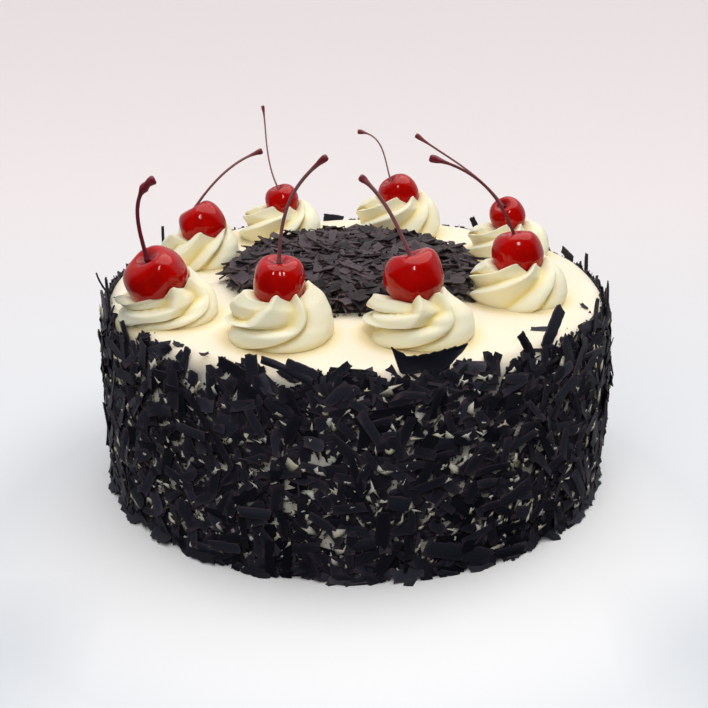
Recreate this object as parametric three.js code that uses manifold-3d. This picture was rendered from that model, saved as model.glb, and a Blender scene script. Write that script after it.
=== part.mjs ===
// Black forest cake: a round cake covered with cream, its side coated with chocolate
// shavings, with eight piped cream rosettes round a bed of shavings and a cherry with its
// stem on each rosette. Millimetres, +Z up; the origin is the centre of the underside.

import * as THREE from 'three';
import { mergeVertices } from 'three/addons/utils/BufferGeometryUtils.js';
import Module from 'manifold-3d';

const wasm = await Module();
wasm.setup();

// Cake.
const CAKE_RADIUS = 103;
const CAKE_HEIGHT = 82;
const RIM_ROUND = 6; // radius of the cream's soft top edge
const FOOT_INSET = 1;
const WALL_COLUMNS = 56;
const WALL_ROWS = 7;
const WALL_BELLY = 2.2; // how far the side swells out at half height
const BELLY_SKEW = 0.9; // how much more it does so towards +X, and less towards -X
const CRUMB_RELIEF = 2.6; // crumbs under the large shavings
const GAP = 0.3; // clearance between neighbouring pieces

// Piped cream: each rosette has a crisp ridge for every petal tip, with a crease between
// one ridge and the next, and they climb counter-clockwise.
const PETAL_DEPTH = 0.22; // share of the radius
// Kinds of swirl, petal by petal: how far each ridge falls behind its tip down to the base,
// in degrees, how sharply it bends, and where the crease lies from it to the next ridge, at
// the base and at the crown.
const SWIRLS = {
  coil: {
    sweeps: [130, 130, 45, 60, 85, 100],
    bends: [2, 2.2, 1.4, 1.2, 1.5, 1.5],
    low: [0.2, 0.5, 0.2, 0.4, 0.4, 0.4],
    high: [0.85, 0.8, 0.25, 0.4, 0.4, 0.4],
  },
  leafy: {
    sweeps: [100, 150, 128, 75, 75, 90],
    bends: [1.5, 0.8, 1.1, 0.7, 0.8, 1],
    low: [0.5, 0.7, 0.7, 0.35, 0.4, 0.4],
    high: [0.5, 0.7, 0.7, 0.35, 0.4, 0.4],
  },
  steep: {
    sweeps: [60, 45, 68, 75, 90, 100],
    bends: [1, 1, 0.8, 0.8, 1, 1],
    low: [0.6, 0.6, 0.3, 0.4, 0.4, 0.4],
    high: [0.6, 0.6, 0.3, 0.4, 0.4, 0.4],
  },
};
const FIRST_FLARE = 2.2; // how far the first petal's tip leans out
const FIRST_DROP = 2.4; // how far it stays below the others
const CROWN_JAG = 3.4; // height of a petal's tip over the notch beside it
const PETAL_LIP = 1.6; // cream between the crown and the cherry
const ROSETTE_ROWS = [
  // share of the radius, share of the height
  [0.93, 0],
  [1, 0.27],
  [0.94, 0.52],
  [0.8, 0.77],
];

// Cherries and stems.
const CHERRY_COLUMNS = 12;
const CHERRY_ROWS = 9;
const DIMPLE_DEPTH = 0.3; // share of the radius
const DIMPLE_WIDTH = 0.36;
const UNDERSIDE = 0.85; // power of the cosine in a cherry's lower half
const STEM_SIDES = 5;
const STEM_STEPS = 9;
const KNOB_START = 0.86; // where along the stem its knob begins
const KNOB_SPAN = 0.14; // share of the stem over which the knob swells

// Chocolate bed in the middle of the top.
const BED = { x: -1, y: 7, radius: 53, edge: 6, crown: 9.5 };
const BED_EDGE_SHARE = 0.93; // share of the radius where its slope begins
const BED_TIP = { start: 0.8, angle: 25 }; // the outer shavings tip down the slope
const BED_DENT = { bearing: 150, depth: 4, width: 25 }; // the edge draws in on its left
const BED_COLUMNS = 40;
const BED_SHAVINGS = 29;

// Shavings on the side and standing over the rim.
const SHAVING_THICKNESS = 1.3;
const WALL_SHAVINGS = 58;
const RIM_SHAVINGS = 30;
const RIM_SINK = 3; // how much lower they lie at the sides and back than in front
const FOOT_SHAVINGS = 26;

// The largest shavings: bearing round the cake, height, length, width, spin from level,
// how far they stand off the wall, and the curl of their ends.
const PLANKS = [
  [-114, 80, 13, 4.5, -23, 1, 0],
  [-110, 81.5, 11, 5, 90, 2, 0],
  [-112, 69, 14, 5, 84, 1, 0],
  [-103, 82, 20, 3, -20, 1, 1],
  [-100, 83, 12, 3.5, -20, 1, 0],
  [-93, 82.5, 10, 3, 42, 1, 0],
  [-92, 72, 13.5, 4, 51, 1, 0],
  [-102, 65, 23, 5, -34, 1, 0],
  [-130, 71, 18, 4.7, 46, 1, 0],
  [-116, 58, 10, 9, 10, 1, 0],
  [-147, 78, 12, 4, -62, 1, 0],
  [-159, 88, 14, 2, -66, 1, 0],
  [-162, 82, 16, 2, -30, 2, 0],
  [150, 86, 12, 1.4, 88, -1, 0],
  [-44.2, 86.6, 17, 7.5, 53, -1.5, 0],
  [-41, 74, 21, 5, -60, 2, 0],
  [-53, 84, 13, 3.5, -56, 0, 0],
  [-31, 80, 15, 6, -8, 1, 0],
  [-28, 83, 15, 3, 75, 2, 0],
  [-12, 80, 17, 3.4, 88, 2, 0],
  [-30, 58, 20, 3.4, -54, 1, 0],
  [12, 81.5, 12, 2.6, 82, 1, 0],
  [22, 82, 10, 3.5, 12, 1, 0],
  [55, 83, 9, 3, 60, 0, 0],
  [96, 82, 10, 4, 10, 0, 0],
  [-69, 9, 30, 6.5, -20, 3, 0],
  [-58, 32, 22, 3.4, -4, 1, 0],
  [-59, 23, 18, 3.8, -24, 1, 0],
  [-57, 3.5, 14, 4, -8, 4, 0],
  [-89, 8, 12.5, 4, -22, 1, 0],
  [-83, 11, 14, 5, -78, 1, 0],
  [-80, 42, 11, 7, 90, 1, 0],
  [-73, 48, 13, 5, -82, 1, 0],
  [-107, 8, 15, 4, 90, 3, 0],
];

// The long blade on the front rim: the lowest height of its upper edge and of its lower
// edge, and for its left and its right end how far each edge rises and where it begins to,
// as a share of the way from the middle to that end.
const BLADE = {
  bearing: -75.1,
  height: 85.9,
  length: 27.6,
  out: -1,
  upper: { low: 1.2, rise: [3.6, 2.4], start: [0.6, -0.55], bend: 1 },
  lower: { low: -5.2, rise: [9.5, 8.3], start: [0.75, 0.3], bend: 1.2 },
};

// One entry for each rosette with its cherry and stem. Rosette: centre, radius, height of
// the petals, slope of its crown, bearings of the petals' tips, kind of swirl. Cherry:
// centre with its height over the cake's top, radius, height over width, lean of its axis,
// a swollen shoulder (bearing, size) and the power of the cosine in its upper half, which
// makes it squarer the less it is. Stem: handles and tip of its curve from the dimple,
// radius and radius of the knob.
const TOPPINGS = [
  {
    rosette: { x: -72.5, y: -43, radius: 19.8, height: 15.3, slope: [0.22, 0.08],
      tips: [196, 302, 348, 395, 445, 500], swirl: 'coil' },
    cherry: { x: -76.2, y: -46, z: 16.6, radius: 12.4, squat: 0.82, lean: [-0.34, -0.26] },
    stem: { curve: [[-2, 0.5, 10], [-7, 3, 25], [4, 4, 30.5]], radius: 0.85, knob: 1.6,
      knobStart: 0.72 },
  },
  {
    rosette: { x: -28, y: -66, radius: 20.5, height: 19, slope: [0, 0],
      tips: [190, 268, 305, 385, 430, 475], swirl: 'coil' },
    cherry: { x: -27.7, y: -66, z: 20.8, radius: 9.9, squat: 0.95, lean: [0, -0.04],
      square: 0.55 },
    stem: { curve: [[1, -1, 18], [4, -3, 29.5], [18, -5, 40.5]], radius: 0.7, knob: 1.15 },
  },
  {
    rosette: { x: 24, y: -64, radius: 21.3, height: 16.8, slope: [0, -0.17],
      tips: [182, 276, 312, 385, 428, 470], swirl: 'coil' },
    cherry: { x: 21.7, y: -64, z: 21.7, radius: 11, squat: 0.88, lean: [-0.1, 0.2],
      shoulder: [15, 0.16], square: 0.55 },
    stem: { curve: [[-5, 0, 10.5], [-9.5, 3.5, 22.5], [-19.2, 6, 29]], radius: 0.8, knob: 1.25 },
  },
  {
    rosette: { x: 66, y: -22, radius: 20.5, height: 17, slope: [0, 0],
      tips: [199, 259, 297, 352, 400, 455], swirl: 'leafy' },
    cherry: { x: 65.4, y: -22, z: 18.3, radius: 10.2, squat: 0.95, lean: [-0.2, 0.12],
      square: 0.55 },
    stem: { curve: [[-6.5, -1, 17.5], [-17, -4, 28.5], [-35, -6, 33]], radius: 0.6, knob: 1.35 },
  },
  {
    rosette: { x: 69.5, y: 42, radius: 19, height: 15, slope: [0, 0],
      tips: [199, 259, 297, 352, 400, 455], swirl: 'leafy' },
    cherry: { x: 69, y: 42, z: 17.5, radius: 8, squat: 0.95, lean: [-0.43, -0.43] },
    stem: { curve: [[-10, 3, 14], [-26, 4, 21.5], [-39.5, 6, 31]], radius: 0.5, knob: 1 },
  },
  {
    rosette: { x: 20.5, y: 78, radius: 21, height: 19, slope: [0, 0],
      tips: [204, 264, 303, 355, 402, 457], swirl: 'leafy' },
    cherry: { x: 21, y: 78, z: 18.6, radius: 9.4, squat: 0.95, lean: [-0.53, -0.07] },
    stem: { curve: [[-3.5, -1, 10], [-3, -3, 24], [-16, -5, 25]], radius: 0.45, knob: 1 },
  },
  {
    rosette: { x: -35, y: 68, radius: 20, height: 16.5, slope: [0, 0],
      tips: [186, 246, 292, 340, 392, 447], swirl: 'leafy' },
    cherry: { x: -33.9, y: 68, z: 17.5, radius: 8.1, squat: 0.95, lean: [-0.27, -0.02] },
    stem: { curve: [[-6.5, 1, 12.5], [-5, 4, 26], [-7, 6, 38]], radius: 0.45, knob: 0.75 },
  },
  {
    rosette: { x: -69, y: 30, radius: 18, height: 15.5, slope: [0, 0],
      tips: [210, 272, 335, 395, 450, 510], swirl: 'steep' },
    cherry: { x: -67.2, y: 30, z: 16.7, radius: 10.3, squat: 0.93, lean: [-0.5, 0.1],
      square: 0.75 },
    stem: { curve: [[7, 1, 10.5], [17, 5, 21], [30.3, 8, 24.5]], radius: 0.6, knob: 1.2 },
  },
];

const UP = new THREE.Vector3(0, 0, 1);
const radians = THREE.MathUtils.degToRad;
const FULL_TURN = 2 * Math.PI;

const MATERIALS = {
  cream: { color: '#f6edd0', roughness: 0.5, metalness: 0 },
  piped: { color: '#faf3dc', roughness: 0.45, metalness: 0 },
  chocolate: { color: '#33282a', roughness: 0.55, metalness: 0 },
  cherry: { color: '#a80a14', roughness: 0.12, metalness: 0 },
  stem: { color: '#5c1a2a', roughness: 0.45, metalness: 0 },
};

// The same number between 0 and 1 every time for piece i and choice k.
function draw(i, k) {
  const spread = Math.sin(i * 12.9898 + k * 78.233) * 43758.5453;
  return spread - Math.floor(spread);
}

function between(low, high, share) {
  return low + (high - low) * share;
}

// A closed geometry as a manifold solid.
function solid(geometry) {
  geometry.deleteAttribute('normal');
  geometry.deleteAttribute('uv');
  const merged = mergeVertices(geometry, 1e-4);
  const corners = merged.index.array;
  const triangles = [];
  for (let i = 0; i < corners.length; i += 3) {
    const [a, b, c] = [corners[i], corners[i + 1], corners[i + 2]];
    if (a !== b && b !== c && c !== a) triangles.push(a, b, c);
  }
  const mesh = new wasm.Mesh({
    numProp: 3,
    vertProperties: new Float32Array(merged.attributes.position.array),
    triVerts: new Uint32Array(triangles),
  });
  return new wasm.Manifold(mesh);
}

// The main body of a solid: loose scraps are dropped and sealed hollows filled.
function mainBody(shape) {
  const parts = shape.decompose();
  return parts.reduce((best, part) => (part.volume() > best.volume() ? part : best));
}

function namedMesh(name, shape, material) {
  const mesh = mainBody(shape).getMesh();
  const geometry = new THREE.BufferGeometry();
  geometry.setAttribute('position', new THREE.BufferAttribute(mesh.vertProperties, 3));
  geometry.setIndex(new THREE.BufferAttribute(mesh.triVerts, 1));
  const result = new THREE.Mesh(geometry, new THREE.MeshStandardMaterial(MATERIALS[material]));
  result.name = name;
  return result;
}

// A closed body round an axis: place(column, row) gives each point, the rows run from the
// bottom up, and the first and the last row are one point each.
function turned(columns, rows, place) {
  const line = Array.from({ length: rows }, (_, row) => new THREE.Vector2(1, row));
  const geometry = new THREE.LatheGeometry(line, columns);
  const position = geometry.attributes.position;
  for (let column = 0; column <= columns; column += 1) {
    for (let row = 0; row < rows; row += 1) {
      position.setXYZ(column * rows + row, ...place(column % columns, row));
    }
  }
  return solid(geometry);
}

// A point at a radius and angle round a centre.
function around(centre, radius, angle, height) {
  return [centre.x + radius * Math.cos(angle), centre.y + radius * Math.sin(angle), height];
}

// Radius of the cream's side, which swells out at half height, more towards +X.
function sideRadius(angle, height) {
  const swell = WALL_BELLY + BELLY_SKEW * Math.cos(angle);
  const share = THREE.MathUtils.clamp(height / CAKE_HEIGHT, 0, 1);
  return CAKE_RADIUS + swell * Math.sin(Math.PI * share);
}

// Height of the cream's top, which rounds over towards the rim.
function topHeight(x, y) {
  const past = Math.hypot(x, y) - (CAKE_RADIUS - RIM_ROUND);
  if (past <= 0) return CAKE_HEIGHT;
  const drop = RIM_ROUND - Math.sqrt(Math.max(RIM_ROUND ** 2 - past ** 2, 0));
  return CAKE_HEIGHT - drop;
}

// Upright drums that keep the shavings clear of the rosettes.
function rosetteRoom() {
  const drums = TOPPINGS.map(({ rosette }) => {
    const height = 4 * rosette.height;
    const reach = rosette.radius + 2 * GAP;
    const drum = new THREE.CylinderGeometry(reach, reach, height, 32);
    drum.rotateX(Math.PI / 2);
    drum.translate(rosette.x, rosette.y, CAKE_HEIGHT);
    return solid(drum);
  });
  return wasm.Manifold.union(drums);
}

// A block that holds everything above a height.
function above(height) {
  const side = 4 * CAKE_RADIUS;
  const block = new THREE.BoxGeometry(side, side, CAKE_HEIGHT * 2);
  block.translate(0, 0, height + CAKE_HEIGHT);
  return solid(block);
}

// A flake of chocolate along X: its ends taper and curl up.
function flake({ length, width, thickness = SHAVING_THICKNESS, curl = 0, taper = [0.2, 0.2] }) {
  const geometry = new THREE.BoxGeometry(length, width, thickness, 2, 1, 1);
  const position = geometry.attributes.position;
  for (let i = 0; i < position.count; i += 1) {
    const share = position.getX(i) / (length / 2);
    const end = share < 0 ? taper[0] : taper[1];
    position.setY(i, position.getY(i) * (1 - end * Math.abs(share)));
    position.setZ(i, position.getZ(i) + curl * (share ** 2 - 0.5));
  }
  return geometry;
}

// Places a flake flat against the side: spin turns it in the wall's plane, lift swings its
// far end outwards and roll tips its face up.
function onWall(geometry, { bearing, height, out, spin, lift = 0, roll = 0 }) {
  const angle = radians(bearing);
  const outward = new THREE.Vector3(Math.cos(angle), Math.sin(angle), 0);
  const along = new THREE.Vector3().crossVectors(UP, outward);
  const frame = new THREE.Matrix4().makeBasis(along, UP, outward);
  const reach = sideRadius(angle, height) + out;
  frame.setPosition(outward.clone().multiplyScalar(reach).setZ(height));
  frame.multiply(new THREE.Matrix4().makeRotationX(radians(-roll)));
  frame.multiply(new THREE.Matrix4().makeRotationZ(radians(spin)));
  frame.multiply(new THREE.Matrix4().makeRotationY(radians(-lift)));
  geometry.applyMatrix4(frame);
  return solid(geometry);
}

function namedPlanks() {
  return PLANKS.map(([bearing, height, length, width, spin, out, curl], i) => {
    const taper = [0.3 * draw(i, 1), 0.3 * draw(i, 2)];
    const lift = between(-3, 3, draw(i, 3));
    return onWall(flake({ length, width, curl, taper }), { bearing, height, out, spin, lift });
  });
}

// The blade on the front rim: its ends rise to points.
function frontBlade() {
  const { bearing, height, length, out, upper, lower } = BLADE;
  const geometry = new THREE.BoxGeometry(length, 1, SHAVING_THICKNESS, 6, 1, 1);
  const position = geometry.attributes.position;
  for (let i = 0; i < position.count; i += 1) {
    const share = position.getX(i) / (length / 2);
    const { low, rise, start, bend } = position.getY(i) > 0 ? upper : lower;
    const left = Math.max((-share - start[0]) / (1 - start[0]), 0);
    const right = Math.max((share - start[1]) / (1 - start[1]), 0);
    position.setY(i, low + rise[0] * left ** bend + rise[1] * right ** bend);
  }
  return onWall(geometry, { bearing, height, out, spin: 0 });
}

// Shavings spread evenly over the side by two irrational steps, the largest first.
function wallShavings() {
  return Array.from({ length: WALL_SHAVINGS }, (_, i) => {
    const size = 1 - i / WALL_SHAVINGS;
    const length = between(10, 19, size) * between(0.85, 1.1, draw(i, 11));
    const width = between(3.4, 5.4, draw(i, 12));
    const bearing = 360 * ((0.5 + 0.7548776662 * i) % 1);
    const height = between(8, CAKE_HEIGHT - 12, (0.5 + 0.569840291 * i) % 1);
    const spin = 180 * draw(i, 13);
    const reach = (length / 2) * Math.abs(Math.sin(radians(spin))) + width / 2;
    return onWall(flake({ length, width, taper: [0.4 * draw(i, 14), 0.4 * draw(i, 15)] }), {
      bearing,
      height: Math.max(height, reach + 0.5),
      out: between(1.6, 4, draw(i, 16)),
      spin,
      lift: between(-9, 9, draw(i, 17)),
    });
  });
}

// Shavings that stand up over the rim, evenly round it.
function rimShavings() {
  return Array.from({ length: RIM_SHAVINGS }, (_, i) => {
    const length = between(9, 14, draw(i, 21));
    const bearing = (360 * (i + 0.8 * draw(i, 23))) / RIM_SHAVINGS;
    const front = Math.max(-Math.sin(radians(bearing)), 0);
    return onWall(flake({ length, width: between(2.6, 4.6, draw(i, 22)), taper: [0, 0.5] }), {
      bearing,
      height: CAKE_HEIGHT - between(2, 6, draw(i, 24)) - RIM_SINK * (1 - front),
      out: between(-0.4, 1.6, draw(i, 25)),
      spin: between(15, 165, draw(i, 26)),
      lift: between(-6, 10, draw(i, 27)),
    });
  });
}

// Shavings that lie against the foot and lean on the side.
function footShavings() {
  return Array.from({ length: FOOT_SHAVINGS }, (_, i) => {
    const length = between(9, 16, draw(i, 51));
    return onWall(flake({ length, width: between(7, 9, draw(i, 52)), taper: [0.2, 0.3] }), {
      bearing: (360 * (i + 0.7 * draw(i, 53))) / FOOT_SHAVINGS,
      height: between(2.2, 3.6, draw(i, 54)),
      out: between(1.8, 3, draw(i, 55)),
      spin: between(-9, 9, draw(i, 56)),
      roll: between(35, 60, draw(i, 57)),
    });
  });
}

// Cream-covered cake grown by a margin: a flat underside, a crumbed side and a soft top
// edge.
function creamForm(margin = 0) {
  const centre = { x: 0, y: 0 };
  const flat = CAKE_RADIUS - RIM_ROUND;
  const shoulder = RIM_ROUND * Math.SQRT1_2;
  const top = [
    [CAKE_RADIUS, CAKE_HEIGHT - RIM_ROUND],
    [flat + shoulder, CAKE_HEIGHT - RIM_ROUND + shoulder],
    [flat, CAKE_HEIGHT],
  ];
  const rows = 2 + WALL_ROWS + top.length + 1;
  return turned(WALL_COLUMNS, rows, (column, row) => {
    const angle = (FULL_TURN * (column + (row % 2) / 2)) / WALL_COLUMNS;
    if (row === 0) return [0, 0, 0];
    if (row === 1) return around(centre, CAKE_RADIUS - FOOT_INSET, angle, 0);
    if (row === rows - 1) return [0, 0, CAKE_HEIGHT + margin];
    if (row < 2 + WALL_ROWS) {
      const height = ((row - 1) * (CAKE_HEIGHT - RIM_ROUND)) / (WALL_ROWS + 1);
      const relief = CRUMB_RELIEF * draw(column, 30 + row);
      return around(centre, sideRadius(angle, height) + relief + margin, angle, height);
    }
    const [radius, height] = top[row - 2 - WALL_ROWS];
    return around(centre, radius + margin, angle, height + margin);
  });
}

// Cake: the cream form with the shavings fused to its side and rim.
function cakeBody(room) {
  const pieces = [...namedPlanks(), frontBlade(), ...wallShavings(), ...rimShavings(),
    ...footShavings()];
  const shavings = wasm.Manifold.union(pieces).subtract(room);
  return creamForm().add(shavings).intersect(above(0));
}

// Bed: a low uneven heap with shavings lying on it, the outer ones tipped down its slope,
// trimmed clear of the rosettes.
function chocolateBed(room) {
  const floor = CAKE_HEIGHT + GAP;
  const ring = (column) => {
    const away = ((360 * column) / BED_COLUMNS - BED_DENT.bearing) / BED_DENT.width;
    const dent = BED_DENT.depth * Math.exp(-away * away);
    return BED.radius * between(0.92, 1.04, draw(column, 40)) - dent;
  };
  const rows = [
    [1, 0],
    [BED_EDGE_SHARE, BED.edge],
    [0.5, between(BED.edge, BED.crown, 0.8)],
  ];
  const heap = turned(BED_COLUMNS, rows.length + 2, (column, row) => {
    if (row === 0) return [BED.x, BED.y, floor];
    if (row === rows.length + 1) return [BED.x, BED.y, floor + BED.crown];
    const [share, rise] = rows[row - 1];
    return around(BED, ring(column) * share, (FULL_TURN * column) / BED_COLUMNS, floor + rise);
  });
  const golden = Math.PI * (3 - Math.sqrt(5));
  const pieces = Array.from({ length: BED_SHAVINGS }, (_, i) => {
    const reach = Math.sqrt((i + 0.5) / BED_SHAVINGS);
    const curl = between(0, 1.5, draw(i, 41));
    const geometry = flake({ length: between(12, 20, draw(i, 42)), width: between(4, 7, draw(i, 43)),
      curl, taper: [0.3 * draw(i, 44), 0.3 * draw(i, 45)] });
    geometry.rotateX(radians(between(-14, 14, draw(i, 46))));
    geometry.rotateY(radians(between(-9, 9, draw(i, 47))));
    geometry.rotateZ(FULL_TURN * draw(i, 48));
    const tip = THREE.MathUtils.smoothstep(reach, BED_TIP.start, 1);
    geometry.rotateY(radians(BED_TIP.angle * tip));
    geometry.rotateZ(golden * i);
    const rise = between(BED.crown, BED.edge, reach ** 2) + 0.5;
    const out = BED.radius * BED_EDGE_SHARE * reach;
    geometry.translate(...around(BED, out, golden * i, floor + rise));
    return solid(geometry);
  });
  return heap.add(wasm.Manifold.union(pieces)).subtract(room).intersect(above(floor));
}

// Cherry grown by a margin: a round fruit with a dimple on top, leaning with its axis.
function cherryBody(cherry, margin = 0) {
  const { x, y, z, radius, squat, lean, shoulder = [0, 0], square = 0.7 } = cherry;
  const axis = new THREE.Vector3(lean[0], lean[1], Math.sqrt(1 - lean[0] ** 2 - lean[1] ** 2));
  const turn = new THREE.Quaternion().setFromUnitVectors(UP, axis);
  const centre = new THREE.Vector3(x, y, CAKE_HEIGHT + z);
  const [bearing, swell] = shoulder;
  return turned(CHERRY_COLUMNS, CHERRY_ROWS, (column, row) => {
    const angle = (FULL_TURN * column) / CHERRY_COLUMNS;
    const latitude = Math.PI * (row / (CHERRY_ROWS - 1) - 0.5);
    const wide = Math.cos(latitude) ** (latitude > 0 ? square : UNDERSIDE);
    const side = Math.max(Math.cos(angle - radians(bearing)), 0);
    const dimple = latitude > 0 ? DIMPLE_DEPTH * Math.exp(-((wide / DIMPLE_WIDTH) ** 2)) : 0;
    const raised = latitude > 0 ? swell * side * wide * Math.sin(latitude) * 2 : 0;
    const high = squat * (Math.sin(latitude) - dimple + raised);
    const reach = (radius + margin) * (row === 0 || row === CHERRY_ROWS - 1 ? 0 : wide);
    const point = new THREE.Vector3(reach * Math.cos(angle), reach * Math.sin(angle),
      (radius + margin) * high);
    return point.applyQuaternion(turn).add(centre).toArray();
  });
}

// Stem: a tapered tube along a curve out of the cherry's dimple, with a knob at its end.
function stemBody(cherry, { curve, radius, knob, knobStart = KNOB_START }) {
  const [leanX, leanY] = cherry.lean;
  const axis = new THREE.Vector3(leanX, leanY, Math.sqrt(1 - leanX ** 2 - leanY ** 2));
  const dimple = cherry.radius * cherry.squat * (1 - DIMPLE_DEPTH) + GAP + radius / 3;
  const root = new THREE.Vector3(cherry.x, cherry.y, CAKE_HEIGHT + cherry.z);
  root.addScaledVector(axis, dimple);
  const points = curve.map((step) => new THREE.Vector3(...step).add(root));
  const route = new THREE.CubicBezierCurve3(root, ...points);
  const frames = route.computeFrenetFrames(STEM_STEPS);
  return turned(STEM_SIDES, STEM_STEPS + 3, (column, row) => {
    const step = THREE.MathUtils.clamp(row - 1, 0, STEM_STEPS);
    const share = step / STEM_STEPS;
    const swell = THREE.MathUtils.smoothstep(share, knobStart, knobStart + KNOB_SPAN);
    const thick = row === 0 || row === STEM_STEPS + 2 ? 0 : between(radius, knob, swell);
    const angle = (FULL_TURN * column) / STEM_SIDES;
    const point = route.getPointAt(share);
    point.addScaledVector(frames.normals[step], thick * Math.cos(angle));
    point.addScaledVector(frames.binormals[step], thick * Math.sin(angle));
    return point.toArray();
  });
}

// Bearing of a rosette's ridge at a rise from 0 at the base to 1 at the crown.
function ridgeBearing({ tips, swirl }, ridge, rise) {
  const i = ridge % tips.length;
  const { sweeps, bends } = SWIRLS[swirl];
  const turns = 360 * Math.floor(ridge / tips.length);
  return tips[i] + turns - sweeps[i] * (1 - rise) ** bends[i];
}

// Rosette: ridges and creases that climb to a jagged crown round the cherry.
function rosetteBody(rosette, cherry) {
  const { x, y, radius, height, slope, tips } = rosette;
  const { low, high } = SWIRLS[rosette.swirl];
  const rows = [
    ...ROSETTE_ROWS.map(([share, rise]) => [share * radius, rise]),
    [cherry.radius + PETAL_LIP, 1],
  ];
  return turned(tips.length * 4, rows.length + 2, (column, row) => {
    const last = row === rows.length + 1;
    const [reach, rise] = row === 0 ? [0, 0] : last ? [0, 0.6] : rows[row - 1];
    const petal = Math.floor(column / 4);
    const ridge = ridgeBearing(rosette, petal, rise);
    const wide = ridgeBearing(rosette, petal + 1, rise) - ridge;
    const crease = between(low[petal], high[petal], Math.sqrt(rise));
    // On the ridge, on its hollow face, in the crease and on the swell to the next ridge.
    const [share, swell] = [
      [0, 1],
      [crease / 2, 0.42],
      [crease, 0],
      [between(crease, 1, 0.4), 0.72],
    ][column % 4];
    const bearing = ridge + wide * share;
    const depth = PETAL_DEPTH * Math.sqrt((wide * tips.length) / 360) * (rise > 0 ? 1 : 0.6);
    const facing = Math.max(Math.cos(radians(bearing - tips[0])), 0);
    const first = last ? 0 : rise ** 3 * facing ** 4;
    const centre = {
      x: x + (cherry.x - x) * rise ** 2,
      y: y + (cherry.y - y) * rise ** 2,
    };
    const ring = reach * (1 - depth * (1 - swell)) + FIRST_FLARE * first;
    const [px, py] = around(centre, ring, radians(bearing));
    if (row <= 1) return [px, py, topHeight(px, py) + GAP];
    const lean = rise * (slope[0] * (px - x) + slope[1] * (py - y));
    const notch = FIRST_DROP * first + (row === rows.length ? CROWN_JAG * (1 - swell) : 0);
    return [px, py, CAKE_HEIGHT + GAP + height * rise + lean - notch];
  });
}

const cake = new THREE.Group();
const room = rosetteRoom();
const support = creamForm(GAP);
cake.add(namedMesh('cake_body', cakeBody(room), 'cream'));
cake.add(namedMesh('chocolate_bed', chocolateBed(room), 'chocolate'));
TOPPINGS.forEach(({ rosette, cherry, stem }, i) => {
  const seat = wasm.Manifold.union(cherryBody(cherry, GAP + 0.1), support);
  cake.add(namedMesh(`rosette_${i + 1}`, rosetteBody(rosette, cherry).subtract(seat), 'piped'));
  cake.add(namedMesh(`cherry_${i + 1}`, cherryBody(cherry), 'cherry'));
  cake.add(namedMesh(`stem_${i + 1}`, stemBody(cherry, stem), 'stem'));
});

export default cake;
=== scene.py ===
"""Black forest cake: a cream-covered cake with chocolate shavings on its side, piped cream
rosettes round a bed of shavings, and a cherry with its stem on each rosette.

Lengths are millimetres until a mesh is made. +Z is up and the origin is the centre of the
underside, as in the frame."""

import math

import bpy
import numpy as np
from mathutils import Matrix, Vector


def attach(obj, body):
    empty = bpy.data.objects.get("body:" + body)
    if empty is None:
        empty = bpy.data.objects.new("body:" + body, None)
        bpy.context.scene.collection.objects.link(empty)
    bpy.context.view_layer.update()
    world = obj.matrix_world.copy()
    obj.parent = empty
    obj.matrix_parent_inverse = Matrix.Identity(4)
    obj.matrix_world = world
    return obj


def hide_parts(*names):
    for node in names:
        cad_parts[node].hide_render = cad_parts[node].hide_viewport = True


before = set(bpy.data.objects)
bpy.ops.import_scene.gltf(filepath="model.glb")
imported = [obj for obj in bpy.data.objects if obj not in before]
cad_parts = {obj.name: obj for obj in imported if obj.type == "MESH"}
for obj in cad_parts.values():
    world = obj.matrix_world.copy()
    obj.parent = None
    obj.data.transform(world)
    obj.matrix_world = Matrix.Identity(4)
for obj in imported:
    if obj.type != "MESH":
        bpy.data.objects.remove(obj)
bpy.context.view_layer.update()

MM = 0.001
FULL_TURN = 2 * math.pi

# Cake.
CAKE_RADIUS = 103.0
CAKE_HEIGHT = 82.0
RIM_ROUND = 6.0
FOOT_INSET = 1.0
WALL_BELLY = 2.2
BELLY_SKEW = 0.9
GAP = 0.3
GROUND = 0.05  # the lowest that shavings reach
BED_GROUND = CAKE_HEIGHT + 0.1

# Steps of a sequence that spreads points evenly over a rectangle, for each side.
EVEN_STEPS = (0.7548776662, 0.569840291)

# Bed of shavings in the middle of the top.
BED_X, BED_Y, BED_RADIUS = -1.0, 7.0, 53.0
BED_EDGE, BED_CROWN = 6.0, 9.5
BED_EDGE_SHARE = 0.93  # share of the radius where its slope begins
BED_DENT = dict(bearing=150, depth=4, width=25)  # the edge draws in on its left

# Piped cream.
PETAL_LIP = 1.6
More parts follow.
